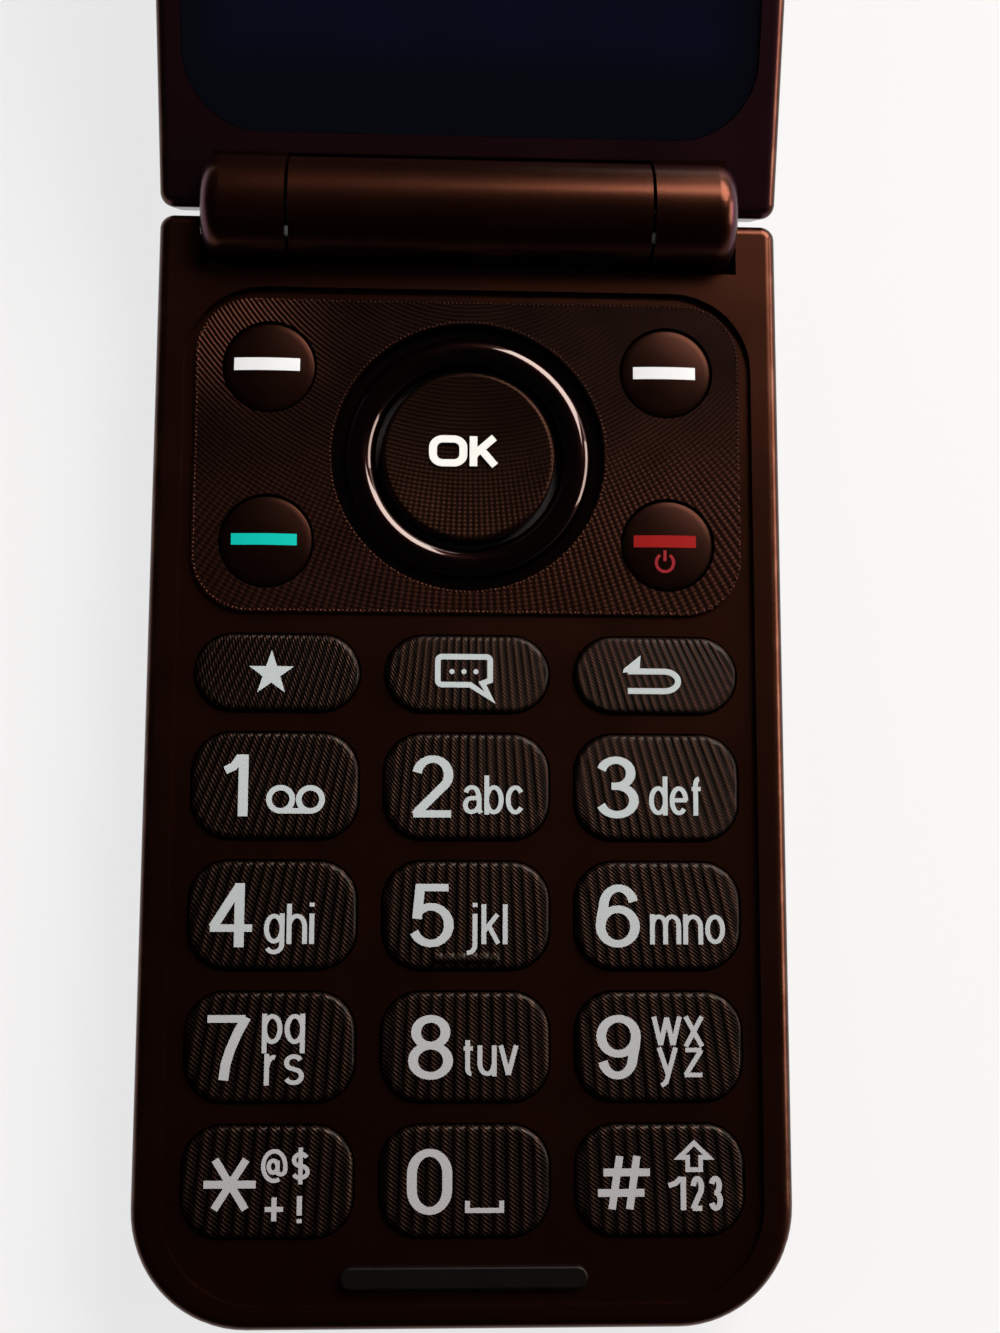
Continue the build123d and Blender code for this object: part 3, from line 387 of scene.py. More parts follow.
def key_mesh(name, kind, x0, distance0, material):
    """One ridged key as a closed mesh in the phone's frame."""
    width, height, corner = key_sizes[kind]
    rows = spread(height)
    across = [-cos(pi * i / end_share) for i in range(end_columns)]
    steps = ceil(width / ridge_step)
    inner = [across[-1] * (1 - 2 * i / steps) for i in range(1, steps)]
    shares = across + inner + [-share for share in reversed(across)]
    verts, index = [], []
    for row in rows:
        y = row - height / 2
        over = max(0.0, abs(y) - (height / 2 - corner))
        reach = width / 2 - corner + sqrt(max(0.0, corner ** 2 - over ** 2))
        line = []
        for share in shares:
            x = share * reach
            inside, _ = edge_distance(x, y, width, height, corner)
            drop = max(0.0, key_edge - inside)
            fall = key_edge - sqrt(max(0.0, key_edge ** 2 - drop ** 2))
            fade = min(1.0, inside / ridge_fade)
            z = key_top - fall + fade * ridge_height(x0 + x, distance0 - y)
            if name == "key_5":
                past_end = max(0.0, abs(x) - pip_half_length)
                pip = max(abs(y + height / 2 - pip_above_edge), past_end) / pip_half_width
                z = max(z, key_top + pip_height * (1 - pip ** 4)) if pip < 1 else z
            line.append(len(verts))
            verts.append((x0 + x, hinge_y - distance0 + y, z))
        index.append(line)
    faces = [(a[i], a[i + 1], b[i + 1], b[i])
             for a, b in zip(index, index[1:]) for i in range(len(shares) - 1)]
    rim = (index[0] + [line[-1] for line in index[1:-1]] + index[-1][::-1]
           + [line[0] for line in reversed(index[1:-1])])
    loops = [rim]
    for grow, z in ((0.0, flange_top), (key_flange, flange_top), (key_flange, key_bottom)):
        loop = []
        for at in rim:
            x, y = verts[at][0] - x0, verts[at][1] - hinge_y + distance0
            _, out = edge_distance(x, y, width, height, corner)
            loop.append(len(verts))
            verts.append((x0 + x + out[0] * grow, hinge_y - distance0 + y + out[1] * grow, z))
        loops.append(loop)
    for upper, lower in zip(loops, loops[1:]):
        for i in range(len(rim)):
            j = (i + 1) % len(rim)
            faces.append((upper[i], lower[i], lower[j], upper[j]))
    faces.append(tuple(reversed(loops[-1])))
    return new_object(name + "_cap", [Vector(v) * mm for v in verts], faces, material)


twist_pitch = 0.36
twist_slant = 2.6


def keycap_finish():
    """Dark brown moulding with the twist of the cords as relief, and painted highlights on the twisted
    crests.
    """
    cap = Finish("key_plastic", (18, 10, 7), 0.42, metallic=0.85, specular_ior_level=0.1,
                 coat_weight=0.12, coat_roughness=0.22)
    x, y, z = cap.place()
    distance = hinge_y - y
    turn = x / fan_pitch(distance)
    twist = cap.wave(distance / twist_pitch - turn * twist_slant)
    cloud = cap.noise(5.0)
    crest = cap.wave(turn - 0.25)
    # Painted highlights: the twisted crests of the cords are painted lighter than the rest of the cap.
    strand_glint = crest * crest * crest * cap.step(twist, 0.45, 0.95)
    on_pip = cap.step(z, key_top + 0.02, key_top + 0.07)
    crest_glint_and_tone = strand_glint * (1 - on_pip) + cloud * 0.08
    cap.set("Base Color", cap.mix(crest_glint_and_tone, (5, 3, 2), (62, 43, 36)))
    cap.set("Roughness", cloud * 0.12 + 0.36)
    cap.relief(twist * 0.9 + cap.noise(0.15, 1.0) * 0.1, 0.035)
    return cap.material


keycap = keycap_finish()
key_places = {}
for row, names in enumerate(keypad):
    for column, name in enumerate(names):
        kind = "number" if row else "function"
        distance = first_row + (row - 1) * row_pitch if row else function_row
        key_places[name] = ((column - 1) * column_pitch, distance)
        made = key_mesh(name, kind, *key_places[name], keycap)
        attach(made, name)
        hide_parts(name)


# Legends: printed in one thick coat on the crests, so each is a thin raised mesh. A glyph is a few
# strokes of an oval pen, in shares of its own box, and the strokes are joined into one outline.
legend_lift = 0.02
legend_depth = 0.16
same_point = 1e-3
weld_distance = 1e-5
mitre_limit = 0.35


def arc(x, y, rx, ry, start, end, steps=14):
    """Points along part of an oval, by its angles in degrees."""
    return [(x + rx * cos(radians(start + (end - start) * i / steps)),
             y + ry * sin(radians(start + (end - start) * i / steps))) for i in range(steps + 1)]


def oval(x, y, rx, ry):
    """Points round a whole oval."""
    return arc(x, y, rx, ry, 0, 360, 28)


bowl = [(1, .7)] + arc(.5, .5, .5, .5, 20, 340, 22) + [(1, .3)]
six = [arc(.53, .67, .44, .33, 15, 180) + [(.03, .5), (0, .32)], oval(.5, .31, .5, .31)]
glyphs = {
    "0": [[(0, .36)] + [(0, .64)] + arc(.5, .64, .5, .36, 180, 0) + arc(.5, .36, .5, .36, 0, -180)],
    "1": [[(0, .77), (.45, .84), (.85, 1.02)], [(1, 1.06), (1, -.06)]],
    "2": [arc(.5, .71, .46, .29, 172, -34) + [(.1, .06), (.0, -.02)], [(-.06, 0), (1.04, 0)]],
    "3": [[(.34, .52)] + arc(.47, .76, .44, .24, -90, 165),
          [(.34, .52), (.5, .52)] + arc(.5, .26, .5, .26, 80, -160)],
    "4": [[(.72, 1.02), (-.02, .28)], [(-.1, .27), (1.1, .27)], [(.73, -.07), (.73, 1.07)]],
    "5": [[(.06, 1), (.98, 1)], [(.17, 1.05), (.08, .44)], arc(.48, .33, .52, .33, 142, -158)],
    "6": six,
    "7": [[(-.1, 1), (.97, 1)], [(1.0, 1.03), (.76, .76), (.57, .48), (.44, .22), (.38, -.07)]],
    "8": [oval(.5, .765, .42, .235), oval(.5, .265, .5, .265)],
    "9": [[(1 - x, 1 - y) for x, y in stroke] for stroke in six],
    "a": [arc(.45, .72, .43, .28, 165, 20) + [(.95, .6), (.95, .1), (1.08, -.04)],
          [(.95, .58), (.5, .56)] + arc(.42, .28, .42, .28, 90, 270) + [(.7, .05), (.95, .25)]],
    "b": [[(0, 1.48), (0, -.1)], [(1 - x, y) for x, y in bowl]],
    "c": [arc(.5, .5, .5, .5, 38, 322, 22)],
    "d": [[(1, 1.48), (1, -.1)], bowl],
    "e": [[(0, .52), (1.08, .52)], arc(.5, .5, .5, .5, 0, 318, 24)],
    "f": [[(.38, -.1), (.38, 1.05)] + arc(.85, 1.1, .47, .3, 180, 95), [(-.1, .98), (1.0, .98)]],
    "g": [[(1, 1.1), (1, -.1)] + arc(.5, -.12, .5, .3, 0, -150), bowl],
    "h": [[(0, 1.48), (0, -.1)], [(0, .66)] + arc(.5, .58, .5, .42, 150, 0) + [(1, -.1)]],
    "i": [[(.5, 1.1), (.5, -.1)], [(.5, 1.37), (.5, 1.53)]],
    "j": [[(.85, 1.1), (.85, -.12)] + arc(.25, -.14, .6, .30, 0, -95), [(.85, 1.37), (.85, 1.53)]],
    "k": [[(0, 1.48), (0, -.1)], [(.95, 1.08), (.04, .42)], [(.35, .62), (1.0, -.08)]],
    "l": [[(.5, 1.48), (.5, -.1)]],
    "m": [[(0, 1.1), (0, -.1)], [(0, .66)] + arc(.25, .65, .25, .35, 150, 0) + [(.5, -.1)],
          [(.5, .66)] + arc(.75, .65, .25, .35, 150, 0) + [(1, -.1)]],
    "n": [[(0, 1.1), (0, -.1)], [(0, .66)] + arc(.5, .58, .5, .42, 150, 0) + [(1, -.1)]],
    "o": [oval(.5, .5, .5, .5)],
    "p": [[(0, 1.1), (0, -.45)], [(1 - x, y) for x, y in bowl]],
    "q": [[(1, 1.1), (1, -.45)], bowl],
    "r": [[(0, 1.1), (0, -.1)], [(0, .6)] + arc(.75, .45, .75, .52, 160, 75)],
    "s": [arc(.5, .76, .46, .24, 25, 235) + [(.5, .52)] + arc(.5, .25, .5, .25, 62, -155)],
    "t": [[(.38, 1.3), (.38, .25)] + arc(.8, .22, .42, .22, 180, 275), [(-.1, .98), (1.0, .98)]],
    "u": [[(0, 1.1), (0, .42)] + arc(.5, .42, .5, .42, 180, 330) + [(1, .4)], [(1, 1.1), (1, -.1)]],
    "v": [[(-.04, 1.1), (.5, -.04)], [(1.04, 1.1), (.5, -.04)]],
    "w": [[(-.02, 1.1), (.25, -.04)], [(.25, -.04), (.5, 1.06)], [(.5, 1.06), (.75, -.04)],
          [(.75, -.04), (1.02, 1.1)]],
    "x": [[(-.02, 1.1), (1.02, -.1)], [(1.02, 1.1), (-.02, -.1)]],
    "y": [[(-.02, 1.1), (.53, .04)], [(1.02, 1.1), (.42, -.28), (.12, -.42)]],
    "z": [[(0, 1), (1, 1)], [(1.0, 1.0), (0, 0)], [(-.05, 0), (1.05, 0)]],
    "@": [arc(.5, .5, .5, .5, -62, -360, 26) + [(1, .42)] + arc(.8, .36, .2, .14, 0, -150, 8),
          oval(.45, .48, .2, .2), [(.65, .68), (.65, .3)]],
    "$": [arc(.5, .70, .46, .20, 25, 235) + [(.5, .5)] + arc(.5, .30, .5, .20, 62, -155),
          [(.5, 1.12), (.5, -.12)]],
    "+": [[(0, .5), (1, .5)], [(.5, 1), (.5, 0)]],
    "!": [[(.5, 1.05), (.5, .24)], [(.5, .08), (.5, -.08)]],
    "*": [[(-.05, .5), (1.05, .5)], [(.18, 1.03), (.84, -.03)], [(.84, 1.03), (.18, -.03)]],
    "#": [[(.24, -.07), (.41, 1.07)], [(.62, -.07), (.78, 1.07)],
          [(.06, .72), (1.06, .72)], [(-.06, .28), (.94, .28)]],
    "_": [[(0, 1.2), (0, 0), (1, 0), (1, 1.2)]],
    "O": [[(0, .36), (0, .64)] + arc(.32, .64, .32, .36, 180, 90, 8) + arc(.68, .64, .32, .36, 90, 0, 8)
          + arc(.68, .36, .32, .36, 0, -90, 8) + arc(.32, .36, .32, .36, -90, -180, 8)],
    "K": [[(0, 1.12), (0, -.12)], [(1.0, 1.08), (.06, .38)], [(.34, .60), (1.04, -.08)]],
    "tape": [oval(.22, .5, .22, .5), oval(.78, .5, .22, .5), [(.2, 0), (.8, 0)]],
    "shift": [[(.5, 1), (1, .46), (.72, .46), (.72, 0), (.28, 0), (.28, .46), (0, .46), (.5, 1)]],
    "back": [[(0, .75), (.7, .75)] + arc(.72, .375, .28, .375, 90, -90) + [(0, 0)]],
    "bubble": [[(0, .5)] + arc(.08, .90, .08, .10, 180, 90, 5) + arc(.92, .90, .08, .10, 90, 0, 5)
               + [(1, .38), (.85, .30), (1.0, -.08), (.62, .26)] + arc(.08, .36, .08, .10, 270, 180, 5)
               + [(0, .5)]],
    "power": [arc(.5, .42, .5, .5, 125, 415, 22), [(.5, 1.1), (.5, .5)]],
}
usual_width = 1.66
widths = {"i": .3, "l": .3, "m": 2.6, "w": 2.4, "f": 1.15, "t": 1.15, "r": 1.1, "j": 1.5,
          "1": 2.36, "@": 1.9, "$": 1.35, "!": .3, "+": 1.6}


def pen_outline(points, wide, high):
    """Outline of an open stroke drawn with an oval pen, cut square at its ends."""
    left, right = [], []
    for i, (x, y) in enumerate(points):
        (ax, ay), (bx, by) = points[max(i - 1, 0)], points[min(i + 1, len(points) - 1)]
        if 0 < i < len(points) - 1:
            first, second = hypot(x - ax, y - ay), hypot(bx - x, by - y)
            tx = (x - ax) / first + (bx - x) / second
            ty = (y - ay) / first + (by - y) / second
        else:
            tx, ty = bx - ax, by - ay
        size = hypot(tx, ty)
        nx, ny = -ty / size, tx / size
        pen = hypot(wide / 2 * nx, high / 2 * ny)
        if 0 < i < len(points) - 1:
            pen /= max(mitre_limit, size / 2)
        left.append((x + nx * pen, y + ny * pen))
        right.append((x - nx * pen, y - ny * pen))
    return left + right[::-1]


def legend_outlines(sign, left, bottom, width, height, wide, high):
    """Outlines of one glyph that fills a box, each a simple polygon."""
    for stroke in glyphs[sign]:
        line = [(left + wide / 2 + x * (width - wide), bottom + high / 2 + y * (height - high))
                for x, y in stroke]
        line = [p for i, p in enumerate(line) if i == 0 or dist(p, line[i - 1]) > same_point]
        if dist(line[0], line[-1]) < same_point:
            line = line[:-1]
            for at in (0, len(line) // 2):
                turned = line[at:] + line[:at]
                yield pen_outline(turned[:len(line) // 2 + 3], wide, high)
        else:
            yield pen_outline(line, wide, high)


def text_outlines(text, left, bottom, width, height, wide, high, gap=.18):
    """Outlines of a few signs set evenly across a box, each of its usual width."""
    natural = [widths.get(sign, usual_width) for sign in text]
    scale = (width - gap * (len(text) - 1)) / sum(natural)
    for sign, share in zip(text, natural):
        across = share * scale
        yield from legend_outlines(sign, left, bottom, max(across, wide + same_point), height, wide, high)
        left += across + gap


def legend(name, outlines, body, place, top, material, face=None):
    """One raised print: the union of the outlines, on a key's centre and a little over its face."""
    points, polygons = [], []
    for outline in outlines:
        turns = sum(a[0] * b[1] - a[1] * b[0] for a, b in zip(outline, outline[1:] + outline[:1]))
        if turns < 0:
            outline = outline[::-1]
        polygons.append(list(range(len(points), len(points) + len(outline))))
        points += [Vector(p) for p in outline]
    flat, _, triangles, _, _, inside = delaunay_2d_cdt(points, [], polygons, 0, weld_distance)
    kept = [triangle for triangle, owners in zip(triangles, inside) if owners]
    x0, y0 = place
    heights = [top + (face(p.x, p.y) if face else 0) for p in flat]
    upper = [Vector((x0 + p.x, y0 + p.y, z)) * mm for p, z in zip(flat, heights)]
    lower = [Vector((x0 + p.x, y0 + p.y, z - legend_depth)) * mm for p, z in zip(flat, heights)]
    count = len(flat)
    sides = {(a, b) for t in kept for a, b in zip(t, t[1:] + t[:1])}
    faces = [tuple(t) for t in kept] + [tuple(v + count for v in reversed(t)) for t in kept]
    faces += [(b, a, a + count, b + count) for a, b in sides if (b, a) not in sides]
    made = new_object(name, upper + lower, faces, material, smooth=False)
    shape = bmesh.new()
    shape.from_mesh(made.data)
    bmesh.ops.delete(shape, geom=[v for v in shape.verts if not v.link_faces], context="VERTS")
    bmesh.ops.recalc_face_normals(shape, faces=shape.faces)
    shape.to_mesh(made.data)
    shape.free()
    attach(made, body)


print_unshaded_y, print_shaded_y = 5.0, -40.0


def print_finish(name, colour, glow, gloss=0.2):
    """Screen print lit a little from behind, thinner in places, and with painted shade that makes it duller
    down the phone.
    """
    ink = Finish(name, colour, 0.5, coat_weight=gloss, specular_ior_level=gloss)
    thin = ink.noise(0.8) * 0.5 + ink.noise(4.0, 1.0) * 0.5
    dim = [value * 0.86 for value in colour]
    _, y, _ = ink.place()
    lower = [value * share for value, share in zip(colour, (.86, .79, .80))]
    # Painted shade: the print grows darker and warmer down the phone.
    shaded_down = ink.mix(ink.step(y, print_unshaded_y, print_shaded_y), colour, lower)
    ink.set("Base Color", ink.mix(thin, ink.mix(0.5, dim, shaded_down), shaded_down))
    ink.set("Emission Color", paint(*colour))
    ink.set("Emission Strength", glow)
    return ink.material


# A sign's box is its left and foot from the middle of its key, its width and height, and its pen.
white_print = print_finish("white_print", (158, 169, 174), 0.10)
digit_pen = (.82, .62)
digit_foot, digit_width, digit_height = -2.66, 3.75, 5.3
digit_lefts = (-5.30, -4.78, -5.30)
symbol_box = (-5.30, -2.35, 4.5, 4.38, .62, .62)
big_signs = {"key_1": ("1", -4.62, digit_foot, 2.36, digit_height, *digit_pen),
             "key_asterisk": ("*", *symbol_box), "key_hash": ("#", *symbol_box)}
letter_pen = (.41, .36)
letter_foot, letter_height = -2.36, 2.47


def letters(word, left, width):
    """Small letters on the lower line of a key."""
    return [(word, left, letter_foot, width, letter_height, *letter_pen)]


def key_legend(name, outlines):
    """The print on the crests of a ridged key."""
    x0, distance = key_places[name]
    place = (x0, hinge_y - distance)
    legend(name + "_legend", outlines, name, place, key_top + legend_lift, white_print)


small_signs = {
    "key_1": [(["tape"], -.72, -2.38, 4.98, 2.42, .48, .46)],
    "key_2": letters("abc", -.32, 5.30),
    "key_3": letters("def", -.67, 4.66),
    "key_4": letters("ghi", -.67, 4.10),
    "key_5": letters("jkl", -.35, 3.75),
    "key_6": letters("mno", -.69, 6.41),
    "key_7": [("pq", -.66, .28, 3.57, 2.45, *letter_pen), ("rs", -.42, -3.06, 3.31, 2.5, *letter_pen, .45)],
    "key_8": letters("tuv", -.28, 4.69),
    "key_9": [("wx", -.60, .05, 4.41, 2.42, *letter_pen), ("yz", -.20, -2.50, 3.97, 2.42, *letter_pen, .45)],
    "key_asterisk": [("@$", -.51, -.05, 4.02, 2.72, .36, .34, .3),
                     ("+!", -.35, -3.3, 3.2, 2.3, .42, .40, .9)],
    "key_0": [("_", .04, -2.53, 3.23, 1.04, .40, .40)],
    "key_hash": [(["shift"], 1.41, .67, 2.86, 2.55, .38, .38),
                 ("123", .45, -2.47, 4.77, 2.82, .46, .42, .35)],
}
for names in keypad[1:]:
    for name, digit_left in zip(names, digit_lefts):
        digit = (name[-1], digit_left, digit_foot, digit_width, digit_height, *digit_pen)
        outlines = list(legend_outlines(*big_signs.get(name, digit)))
        for small in small_signs[name]:
            outlines += text_outlines(*small)
        key_legend(name, outlines)


def star_outline(radius, notch_share=.39):
    """Outline of a five-pointed star."""
    reaches = [radius * (1 if i % 2 == 0 else notch_share) for i in range(10)]
    return [(reach * sin(pi * i / 5), reach * cos(pi * i / 5)) for i, reach in enumerate(reaches)]


def dot_outline(x, y, radius):
    """Outline of a round dot."""
    return arc(x, y, radius, radius, 0, 345, 23)


star = [(x - .48, y - .12) for x, y in star_outline(2.02)]
key_legend("key_favourite", [star])
bubble = list(legend_outlines("bubble", -2.78, -2.05, 4.99, 3.76, .48, .48))
bubble += [dot_outline(x, .18, .22) for x in (-1.32, -.29, .74)]
key_legend("key_message", bubble)
back_arrow = list(legend_outlines("back", -2.67, -1.63, 4.87, 2.78, .50, .50))
back_arrow.append([(-2.85, .22), (-2.75, .55), (-1.30, 1.72), (-1.42, .30)])
key_legend("key_back", back_arrow)


# Corner keys: four round keys with softly domed, polished faces. Each is turned from one profile, with
# a wall and the flange that the web holds down, and carries a lit bar.
corner_radius = 4.0
corner_fall = 0.32
corner_edge = 0.18
dome_rings = 12
bar_steps = 24


def turned(name, place, profile, material, segments=72):
    """A closed solid of revolution about a vertical line, from its profile of radius and height."""
    x0, y0 = place
    verts, faces, rings = [], [], []
    for radius, z in profile:
        if radius == 0:
            rings.append([len(verts)])
            verts.append((x0, y0, z))
            continue
        rings.append(list(range(len(verts), len(verts) + segments)))
        verts += [(x0 + radius * cos(2 * pi * i / segments), y0 + radius * sin(2 * pi * i / segments), z)
                  for i in range(segments)]
    for upper, lower in zip(rings, rings[1:]):
        for i in range(segments):
            j = (i + 1) % segments
            if len(upper) == 1:
                faces.append((upper[0], lower[i], lower[j]))
            elif len(lower) == 1:
                faces.append((upper[i], lower[0], upper[j]))
            else:
                faces.append((upper[i], lower[i], lower[j], upper[j]))
    return new_object(name, [Vector(v) * mm for v in verts], faces, material)


def dome_height(x, y):
    """Height of a corner key's face under its middle."""
    return -corner_fall * (x * x + y * y) / corner_radius ** 2


def polished(name, colour, bright, patch, roughness, more, grain, depth, **constants):
    """Dark polished metallic, a little cloudy; the clouds are brighter and more rough."""
    gloss = Finish(name, colour, roughness, **constants)
    cloud = gloss.noise(patch)
    gloss.set("Base Color", gloss.mix(cloud, colour, bright))
    gloss.set("Roughness", cloud * more + roughness)
    gloss.relief(gloss.noise(grain, 1.0), depth)
    return gloss.material


lit_print = print_finish("lit_print", (193, 198, 203), 0.25)
teal_print = print_finish("teal_print", (8, 155, 147), 0.30, 0.03)
red_print = print_finish("red_print", (119, 20, 20), 0.22, 0.03)
power_print = print_finish("power_print", (126, 34, 42), 0.10, 0.03)
key_lacquer = polished("key_lacquer", (30, 13, 8), (38, 18, 11), 3.0, 0.30, 0.10, 0.3, 0.001, metallic=0.95)
# A bar is the place of its middle from the key's middle, its width and height, and its ink.
corner_bars = {"soft_key_left": (-.23, .20, 5.76, 1.14, lit_print),
               "soft_key_right": (-.18, -.05, 5.53, 1.10, lit_print),
               "call_key": (-.19, .09, 5.68, 1.01, teal_print), "end_key": (-.26, .31, 5.46, 1.07, red_print)}
for name, (bar_x, bar_y, bar_width, bar_height, ink) in corner_bars.items():
    lo, hi = (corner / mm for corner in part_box(name))
    middle = ((lo.x + hi.x) / 2, (lo.y + hi.y) / 2)
    rings = [corner_radius * i / dome_rings for i in range(dome_rings)]
    face = [(ring, hi.z + dome_height(ring, 0)) for ring in rings]
    edge = hi.z - corner_fall
    face += [(corner_radius - corner_edge * (1 - sin(radians(a))), edge - corner_edge * (1 - cos(radians(a))))
             for a in (0, 30, 60, 90)]
    face += [(corner_radius, flange_top), (hi.x - middle[0], flange_top), (hi.x - middle[0], lo.z), (0, lo.z)]
    made = turned(name + "_cap", middle, face, key_lacquer)
    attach(made, name)
    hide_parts(name)
    start = bar_x - bar_width / 2
    line = [(start + bar_width * i / bar_steps, bar_y) for i in range(bar_steps + 1)]
    bar = pen_outline(line, bar_height, bar_height)
    legend(name + "_bar", [bar], name, middle, hi.z + legend_lift, ink, dome_height)
    if name == "end_key":
        icon = legend_outlines("power", -1.17, -2.36, 1.78, 1.84, .26, .26)
        legend("end_key_power", icon, name, middle, hi.z + legend_lift, power_print, dome_height)


# Navigation plate and OK key: thin moulded faces grained like cloth. Fine cords fan out from a point
# beyond the hinge and are crossed by arcs about that point; the cords grow down the plate.
fan_top = -5.0
cord_turn = radians(0.86)
arc_pitch = 0.38
# Over these bands the threads stand higher and carry a painted sheen: down the plate, to its left above and
# its right below.
sheen_low = (16.0, 31.0)
sheen_left, sheen_above = (9.0, 20.0), (-21.0, -12.0)
sheen_right, sheen_below = (4.0, 20.0), (12.0, 24.0)


def cloth_finish(name, colour, lit, roughness, metallic):
    """Cloth grain in dark metallic plastic, its raised threads painted lighter as a painted sheen in some
    bands.
    """
    weave = Finish(name, colour, roughness, metallic=metallic, specular_ior_level=0.05)
    x, y, _ = weave.place()
    distance = hinge_y - y
    down = distance - fan_top
    reach = (x * x + down * down).math("SQRT")
    cords = weave.wave(x.math("ARCTAN2", down) / cord_turn)
    arcs = weave.wave(reach / arc_pitch)
    low = weave.step(distance, *sheen_low)
    left = weave.step(x * -1, *sheen_left) * weave.step(distance * -1, *sheen_above)
    right = weave.step(x, *sheen_right) * weave.step(distance, *sheen_below)
    # Painted sheen: in these bands the raised threads are painted lighter, where they would catch the light.
    sheen_bands = 1 - (1 - left) * (1 - low) * (1 - right * 0.8)
    thread = (arcs * (1 - low * 0.55) + cords * low) * (1 - low * 0.3)
    cloud = weave.noise(4.0)
    thread_sheen_and_cloud = thread * (sheen_bands * 0.75 + 0.12) + cloud * 0.1
    weave.set("Base Color", weave.mix(thread_sheen_and_cloud, colour, lit))
    weave.set("Roughness", cloud * 0.12 + (roughness - 0.06))
    weave.relief(thread * (sheen_bands * 0.7 + 0.3) + weave.noise(0.15, 1.0) * 0.15, 0.035)
    return weave.material


dress(cloth_finish("plate_cloth", (19, 10, 8), (54, 30, 23), 0.36, 0.85), "nav_plate")
dress(cloth_finish("ok_cloth", (23, 12, 8), (46, 27, 20), 0.36, 0.85), "ok_key")
ok_lo, ok_hi = (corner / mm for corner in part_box("ok_key"))
ok_text = list(legend_outlines("O", -3.46, -.995, 3.36, 2.79, .70, .64))
ok_text += legend_outlines("K", .10, -.995, 2.50, 2.79, .68, .62)
ok_print = print_finish("ok_print", (210, 214, 214), 0.12)
ok_middle = ((ok_lo.x + ok_hi.x) / 2, (ok_lo.y + ok_hi.y) / 2)
legend("ok_key_legend", ok_text, "ok_key", ok_middle, ok_hi.z + legend_lift, ok_print)


# Edge beads: the cords are cut at the plate's rim and round its hole, and their ends stand there as a
# row of fine beads. Each row is strung on a line by geometry nodes.
bead_pitch = 0.38
bead_radius = 0.12
bead_sunk = 0.04
bead_inset = 0.03
plate_lo, plate_hi = (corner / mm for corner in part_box("nav_plate"))
plate_corner = 5.0
hole_radius = 12.0


def add_node(tree, kind, inputs, **settings):
    """A geometry node with its settings, and its inputs fed by name or number."""
    made = tree.nodes.new(kind)
    for key, value in settings.items():
        setattr(made, key, value)
    for key, value in inputs.items():
        if isinstance(value, bpy.types.NodeSocket):
            tree.links.new(value, made.inputs[key])
        else:
            made.inputs[key].default_value = value
    return made.outputs


def bead_tree(material):
    """Beads of uneven size strung on a closed line."""
    tree = bpy.data.node_groups.new("bead_row", "GeometryNodeTree")
    tree.interface.new_socket("Line", in_out="INPUT", socket_type="NodeSocketGeometry")
    for name, kind in (("Pitch", "Float"), ("Radius", "Float"), ("Seed", "Int")):
        tree.interface.new_socket(name, in_out="INPUT", socket_type="NodeSocket" + kind)
    tree.interface.new_socket("Beads", in_out="OUTPUT", socket_type="NodeSocketGeometry")
    given = tree.nodes.new("NodeGroupInput").outputs
    line = add_node(tree, "GeometryNodeMeshToCurve", {"Mesh": given["Line"]})
    places = add_node(tree, "GeometryNodeResampleCurve",
                      {"Curve": line["Curve"], "Length": given["Pitch"]}, mode="LENGTH")
    bead = add_node(tree, "GeometryNodeMeshIcoSphere", {"Radius": given["Radius"], "Subdivisions": 2})
    size = add_node(tree, "FunctionNodeRandomValue",
                    {2: 0.75, 3: 1.15, "Seed": given["Seed"]}, data_type="FLOAT")
    rows = add_node(tree, "GeometryNodeInstanceOnPoints",
                    {"Points": places["Curve"], "Instance": bead["Mesh"], "Scale": size[1]})
    solid = add_node(tree, "GeometryNodeRealizeInstances", {"Geometry": rows["Instances"]})
    dressed = add_node(tree, "GeometryNodeSetMaterial", {"Geometry": solid["Geometry"], "Material": material})
    add_node(tree, "NodeGroupOutput", {"Beads": dressed["Geometry"]})
    return tree


def grown(name, points, tree, **values):
    """The plain mesh that a tree makes of a closed line of points."""
    line = bpy.data.meshes.new(name + "_line")
    count = len(points)
    line.from_pydata([Vector(p) * mm for p in points], [(i, (i + 1) % count) for i in range(count)], [])
    made = bpy.data.objects.new(name, line)
    scene.collection.objects.link(made)
    growth = made.modifiers.new("growth", "NODES")
    growth.node_group = tree
    for socket in tree.interface.items_tree:
        if socket.name in values:
            growth[socket.identifier] = values[socket.name]
    mesh = bpy.data.meshes.new_from_object(made.evaluated_get(bpy.context.evaluated_depsgraph_get()))
    made.modifiers.remove(growth)
    made.data = mesh
    return made


def rounded_outline(x0, x1, y0, y1, corner):
    """Points along a rectangle with round corners."""
    outline = []
    for x, y, start in ((x1 - corner, y1 - corner, 0), (x0 + corner, y1 - corner, 90),
                        (x0 + corner, y0 + corner, 180), (x1 - corner, y0 + corner, 270)):
        outline += arc(x, y, corner, corner, start, start + 90)
    return outline


beads = bead_tree(cloth_finish("bead_cloth", (42, 23, 18), (84, 52, 42), 0.28, 0.85))
ring_lo, ring_hi = (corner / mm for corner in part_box("nav_ring"))
ring_y = (ring_lo.y + ring_hi.y) / 2
inset = bead_radius + bead_inset
rows = {"plate_rim_beads": rounded_outline(plate_lo.x + inset, plate_hi.x - inset, plate_lo.y + inset,
                                           plate_hi.y - inset, plate_corner - inset),
        "plate_hole_beads": arc(0, ring_y, hole_radius + inset, hole_radius + inset, 0, 355, 71)}
for seed, (name, outline) in enumerate(rows.items()):
    made = grown(name, [(x, y, plate_hi.z - bead_sunk) for x, y in outline], beads,
                 Pitch=bead_pitch * mm, Radius=bead_radius * mm, Seed=seed)
    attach(made, "base")


